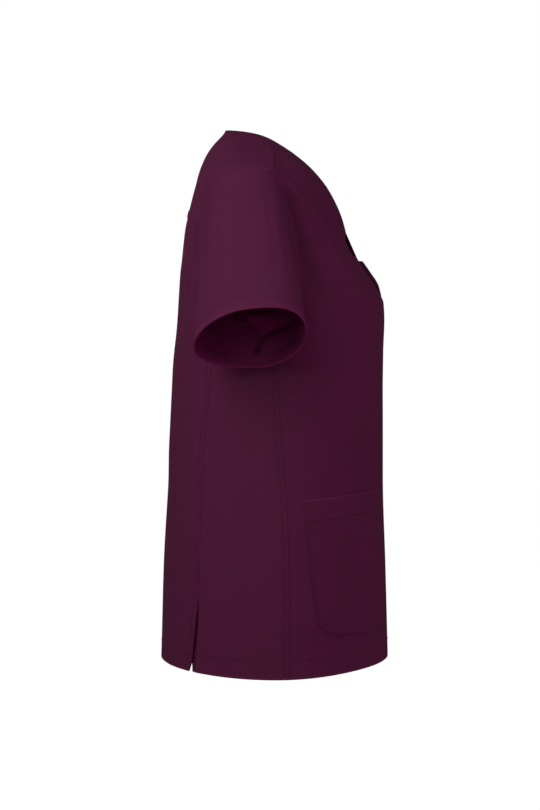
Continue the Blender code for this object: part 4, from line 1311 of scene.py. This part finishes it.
def pocket_map():
    """Grid of a pocket: rows from the foot up, columns from the inner edge out, round lower corners."""
    tall, wide = POCKET_TOP[0] - POCKET_FOOT[0], POCKET_OUTER[0] - POCKET_INNER
    rim, inner_rim, top_rim = BORDER / wide, 1.0 - BORDER[::-1] / wide, 1.0 - BORDER[::-1] / tall
    across = np.concatenate((rim[:-1], np.linspace(rim[-1], inner_rim[0], 76), inner_rim[1:]))[None, :]
    corner = (1.0 - np.cos(np.linspace(0.0, np.pi / 2.0, 24))) * POCKET_CORNER / tall
    up = np.concatenate((corner[:-1], np.linspace(corner[-1], top_rim[0], 58), top_rim[1:]))[:, None]
    height = mix(mix(*POCKET_FOOT, across), mix(*POCKET_TOP, across), up)
    inset = POCKET_CORNER * (1.0 - np.sqrt(1.0 - np.clip(1.0 - up * tall / POCKET_CORNER, 0.0, 1.0) ** 2))
    distance = mix(POCKET_INNER + inset, mix(POCKET_OUTER[1], POCKET_OUTER[0], up) - inset, across)
    return distance, height, up, across


def flat_points(distance, height):
    return np.stack((distance, height, 0.0 * distance), axis=-1)


class SCRUB_OT_pockets(bpy.types.Operator):
    """Make both patch pockets, stitched down at their sides and foot and open at the top"""
    bl_idname = "scrub.pockets"
    bl_label = "Pockets"

    def execute(self, context):
        cut = context.scene.scrub_cut
        twill = twill_material("pocket_twill", cut.pocket_hem)
        distance, height, up, across = pocket_map()
        flat = flat_points(distance, height)
        edge = distance_to(flat, [flat_points(*pocket_outline(0.0))])
        top = distance_to(flat, [flat[-1]])
        past, step = FELLED_EDGE
        rise = POCKET_RISE - POCKET_EDGE_ROLL * falling_square(edge, 2.0)
        rise = rise - POCKET_EDGE_DIP * smooth_step((past - edge) / step)
        middle = np.sin(np.pi * across)
        rise = rise + middle * (POCKET_FULLNESS * np.sin(np.pi * up ** 0.8)
                                + POCKET_GAPE * smooth_step((up - 0.75) / 0.25))
        rise = rise - POCKET_MOUTH_ROLL * falling_square(top, 2.6) * np.clip(edge / 8.0, 0.0, 1.0)
        angle = angle_round(distance, height)
        thickness = (cut.cloth + cut.pocket_layer * hem_share(cut.pocket_hem, top)) / MM
        for word, side in SIDES:
            cloth("cloth_pocket_" + word, on_form(side * angle, height, rise), thickness, twill, facing=side,
                  seam=edge, hem=top)
        return {"FINISHED"}


class SCRUB_OT_vent_facings(bpy.types.Operator):
    """Make the facings behind the two vents"""
    bl_idname = "scrub.vent_facings"
    bl_label = "Vent facings"

    def execute(self, context):
        # The facings are a darker copy of the cloth, 0.8 of it: painted shade, as they lie in the shadow of
        # the back panel's edge.
        twill = twill_material("vent_facing_twill", painted_shade=0.8)
        foot, top, ahead, behind = VENT_FACING
        height = np.linspace(foot, top, 50)[:, None]
        slant_height, slant = VENT_FACING_SLANT
        reach = behind - slant * np.clip((slant_height - height) / (slant_height - foot), 0.0, 1.0)
        across = mix(ahead, reach, np.linspace(0.0, 1.0, 16)[None, :])
        angle, height = np.broadcast_arrays(side_seam("back_angle", height) + across / MM_PER_DEGREE, height)
        for word, side in SIDES:
            cloth("cloth_vent_facing_" + word, on_form(side * angle, height, -VENT_FACING_DEPTH),
                  context.scene.scrub_cut.cloth / MM, twill, facing=side)
        return {"FINISHED"}


# Stitching
def side_seam_rows():
    rows = []
    for edge, turn in ((side_edge(*FRONT_EDGE), 1.0), (side_edge(*BACK_EDGE, VENT_SPREAD), -1.0)):
        for distance in STITCH_ROWS:
            rows += both_rows(edge, turn * distance)
    return rows


def yoke_and_neck_rows():
    near, far = STITCH_ROWS
    yoke, shoulder = yoke_seam(YOKE_SHARES), shoulder_seam()
    neck_behind, neck_ahead = neck_seam()
    rows = []
    for line, distance in ((yoke, -near), (yoke, -far), (shoulder, near), (shoulder, far),
                           (neck_ahead, near), (neck_behind, near)):
        rows += both_rows(line, distance)
    return rows


def hem_rows():
    cut = bpy.context.scene.scrub_cut
    rows = []
    for first, last in STITCHED_HEMS:
        angle, height = hem_line(first, last, 200)
        rows.append(row_on_form((angle, height + cut.body_hem / MM), HEM_ROW_STAND_OFF))
    for _, side in SIDES:
        points, normal, _, from_hem = sleeve_shell(side)
        row = np.argmin(np.abs(from_hem - cut.sleeve_hem / MM).mean(axis=1))
        ring = points[row] + normal[row] * HEM_ROW_STAND_OFF
        rows.append(tuple(np.append(run, run[:1], axis=0) for run in (ring, normal[row])))
    return rows


def pocket_rows():
    hem = bpy.context.scene.scrub_cut.pocket_hem / MM
    share = np.linspace(0.03, 0.97, 120)
    mouth = mix(POCKET_INNER, POCKET_OUTER[0] - 2.0, share), mix(*POCKET_TOP, share) - hem
    bulge = POCKET_RISE + 0.1 + (POCKET_FULLNESS + POCKET_GAPE) / 2.0 * np.sin(np.pi * share)
    runs = [(pocket_outline(inset), POCKET_RISE - 0.05) for inset in STITCH_ROWS] + [(mouth, bulge)]
    return [row_on_form((side * angle_round(*line), line[1]), stand_off) for _, side in SIDES
            for line, stand_off in runs]


def tack_rows():
    """Bar tacks at the corners of the pockets' mouths and at the tops of the vents."""
    rows = []
    vent = VENT_TOP + 2.0
    corners = ((POCKET_INNER + POCKET_TACK[0], POCKET_TOP[0] - POCKET_TACK[1]),
               (POCKET_OUTER[0] - POCKET_TACK[0], POCKET_TOP[1] - POCKET_TACK[1]))
    for _, side in SIDES:
        for distance, height in corners:
            angle = side * angle_round(np.array(distance), np.array(height))
            rows += bar_tack(angle, height, POCKET_RISE - 0.2)
        rows += bar_tack(side * side_seam("back_angle", np.array(vent)), vent, 0.1)
    return rows


class SCRUB_OT_stitching(bpy.types.Operator):
    """Sew the rows of stitches along the seams, the hems and the pockets"""
    bl_idname = "scrub.stitching"
    bl_label = "Stitching"

    def execute(self, context):
        thread = thread_material()
        thread_rows("side_seam_stitches", side_seam_rows(), thread)
        thread_rows("yoke_and_neck_stitches", yoke_and_neck_rows(), thread)
        thread_rows("hem_stitches", hem_rows(), thread)
        thread_rows("pocket_stitches", pocket_rows(), thread)
        thread_rows("bar_tacks", tack_rows(), thread)
        return {"FINISHED"}


# Studio
def white_surround(studio):
    """A world that the camera sees white and that gives a soft light, with more of it from below."""
    world = bpy.data.worlds.new("white_surround")
    world.use_nodes = True
    world.cycles_visibility.glossy = False
    tree = world.node_tree
    seen = add_node(tree, "ShaderNodeLightPath", output="Is Camera Ray")
    direction = add_node(tree, "ShaderNodeTexCoord", output="Generated")
    upward = Socket(tree, add_node(tree, "ShaderNodeSeparateXYZ", (direction,)).socket.node.outputs[2])
    below = (0.5 - upward * 1.5).math("MAXIMUM", 0.0).math("MINIMUM", 1.0)
    given = below * (studio.bounce - studio.surround) + studio.surround
    fill(tree, tree.nodes["Background"], {"Color": WHITE, "Strength": seen * (1.0 - given) + given})
    return world


class SCRUB_OT_studio(bpy.types.Operator):
    """Set up the pale floor, the white surround, the soft light and the camera"""
    bl_idname = "scrub.studio"
    bl_label = "Studio"

    def execute(self, context):
        studio = context.scene.scrub_studio
        reach, height = studio.floor_reach / MM, studio.floor_height / MM
        corners = [(x * reach, y * reach, height) for x, y in ((-1, -1), (1, -1), (1, 1), (-1, 1))]
        floor = put_mesh("studio_floor", np.array(corners), np.array(((0, 1, 2, 3),)), floor_material())
        floor.visible_diffuse = False
        floor.visible_glossy = False
        context.scene.world = white_surround(studio)

        for name, place, aim, size in LIGHTS:
            lamp = bpy.data.lights.new(name + "_light", "AREA")
            lamp.shape = "SQUARE"
            lamp.size = getattr(studio, size)
            lamp.energy = getattr(studio, name + "_power")
            light = bpy.data.objects.new(name + "_light", lamp)
            light.location = place
            light.rotation_euler = (Vector(aim) - light.location).to_track_quat("-Z", "Y").to_euler()
            light.visible_camera = False
            light.visible_glossy = name == "gloss"
            light.visible_diffuse = name != "gloss"
            context.collection.objects.link(light)

        camera = bpy.data.objects.new("camera", bpy.data.cameras.new("camera"))
        camera.location = (-studio.camera_distance, studio.camera_forward, studio.camera_height)
        camera.rotation_euler = (np.pi / 2.0, 0.0, -np.pi / 2.0)
        camera.data.lens = studio.lens
        camera.data.sensor_width = 36.0
        camera.data.clip_end = 100.0
        context.collection.objects.link(camera)
        context.scene.camera = camera
        context.scene.view_settings.view_transform = "Standard"
        context.scene.view_settings.look = "None"
        return {"FINISHED"}


OPERATORS = (
    SCRUB_OT_front, SCRUB_OT_back, SCRUB_OT_yoke, SCRUB_OT_side_panels, SCRUB_OT_neck_band, SCRUB_OT_sleeves,
    SCRUB_OT_pockets, SCRUB_OT_vent_facings, SCRUB_OT_stitching, SCRUB_OT_studio,
)
GROUPS = (("scrub_cut", ScrubCut), ("scrub_colours", ScrubColours), ("scrub_studio", ScrubStudio))


class SCRUB_PT_panel(bpy.types.Panel):
    """Pieces of the scrub top, with their sizes and colours"""
    bl_idname = "SCRUB_PT_panel"
    bl_label = "Scrub top"
    bl_space_type = "VIEW_3D"
    bl_region_type = "UI"
    bl_category = "Scrub top"

    def draw(self, context):
        for operator in OPERATORS:
            self.layout.operator(operator.bl_idname)
        for name, group in GROUPS:
            box = self.layout.box()
            for key in group.__annotations__:
                box.prop(getattr(context.scene, name), key)


def register():
    for name, group in GROUPS:
        bpy.utils.register_class(group)
        setattr(bpy.types.Scene, name, PointerProperty(type=group))
    for item in OPERATORS + (SCRUB_PT_panel,):
        bpy.utils.register_class(item)


def unregister():
    for item in (SCRUB_PT_panel,) + OPERATORS[::-1]:
        bpy.utils.unregister_class(item)
    for name, group in GROUPS[::-1]:
        delattr(bpy.types.Scene, name)
        bpy.utils.unregister_class(group)


def main():
    register()
    bpy.ops.scrub.front()
    bpy.ops.scrub.back()
    bpy.ops.scrub.yoke()
    bpy.ops.scrub.side_panels()
    bpy.ops.scrub.neck_band()
    bpy.ops.scrub.sleeves()
    bpy.ops.scrub.pockets()
    bpy.ops.scrub.vent_facings()
    bpy.ops.scrub.stitching()
    bpy.ops.scrub.studio()


if __name__ == "__main__":
    main()
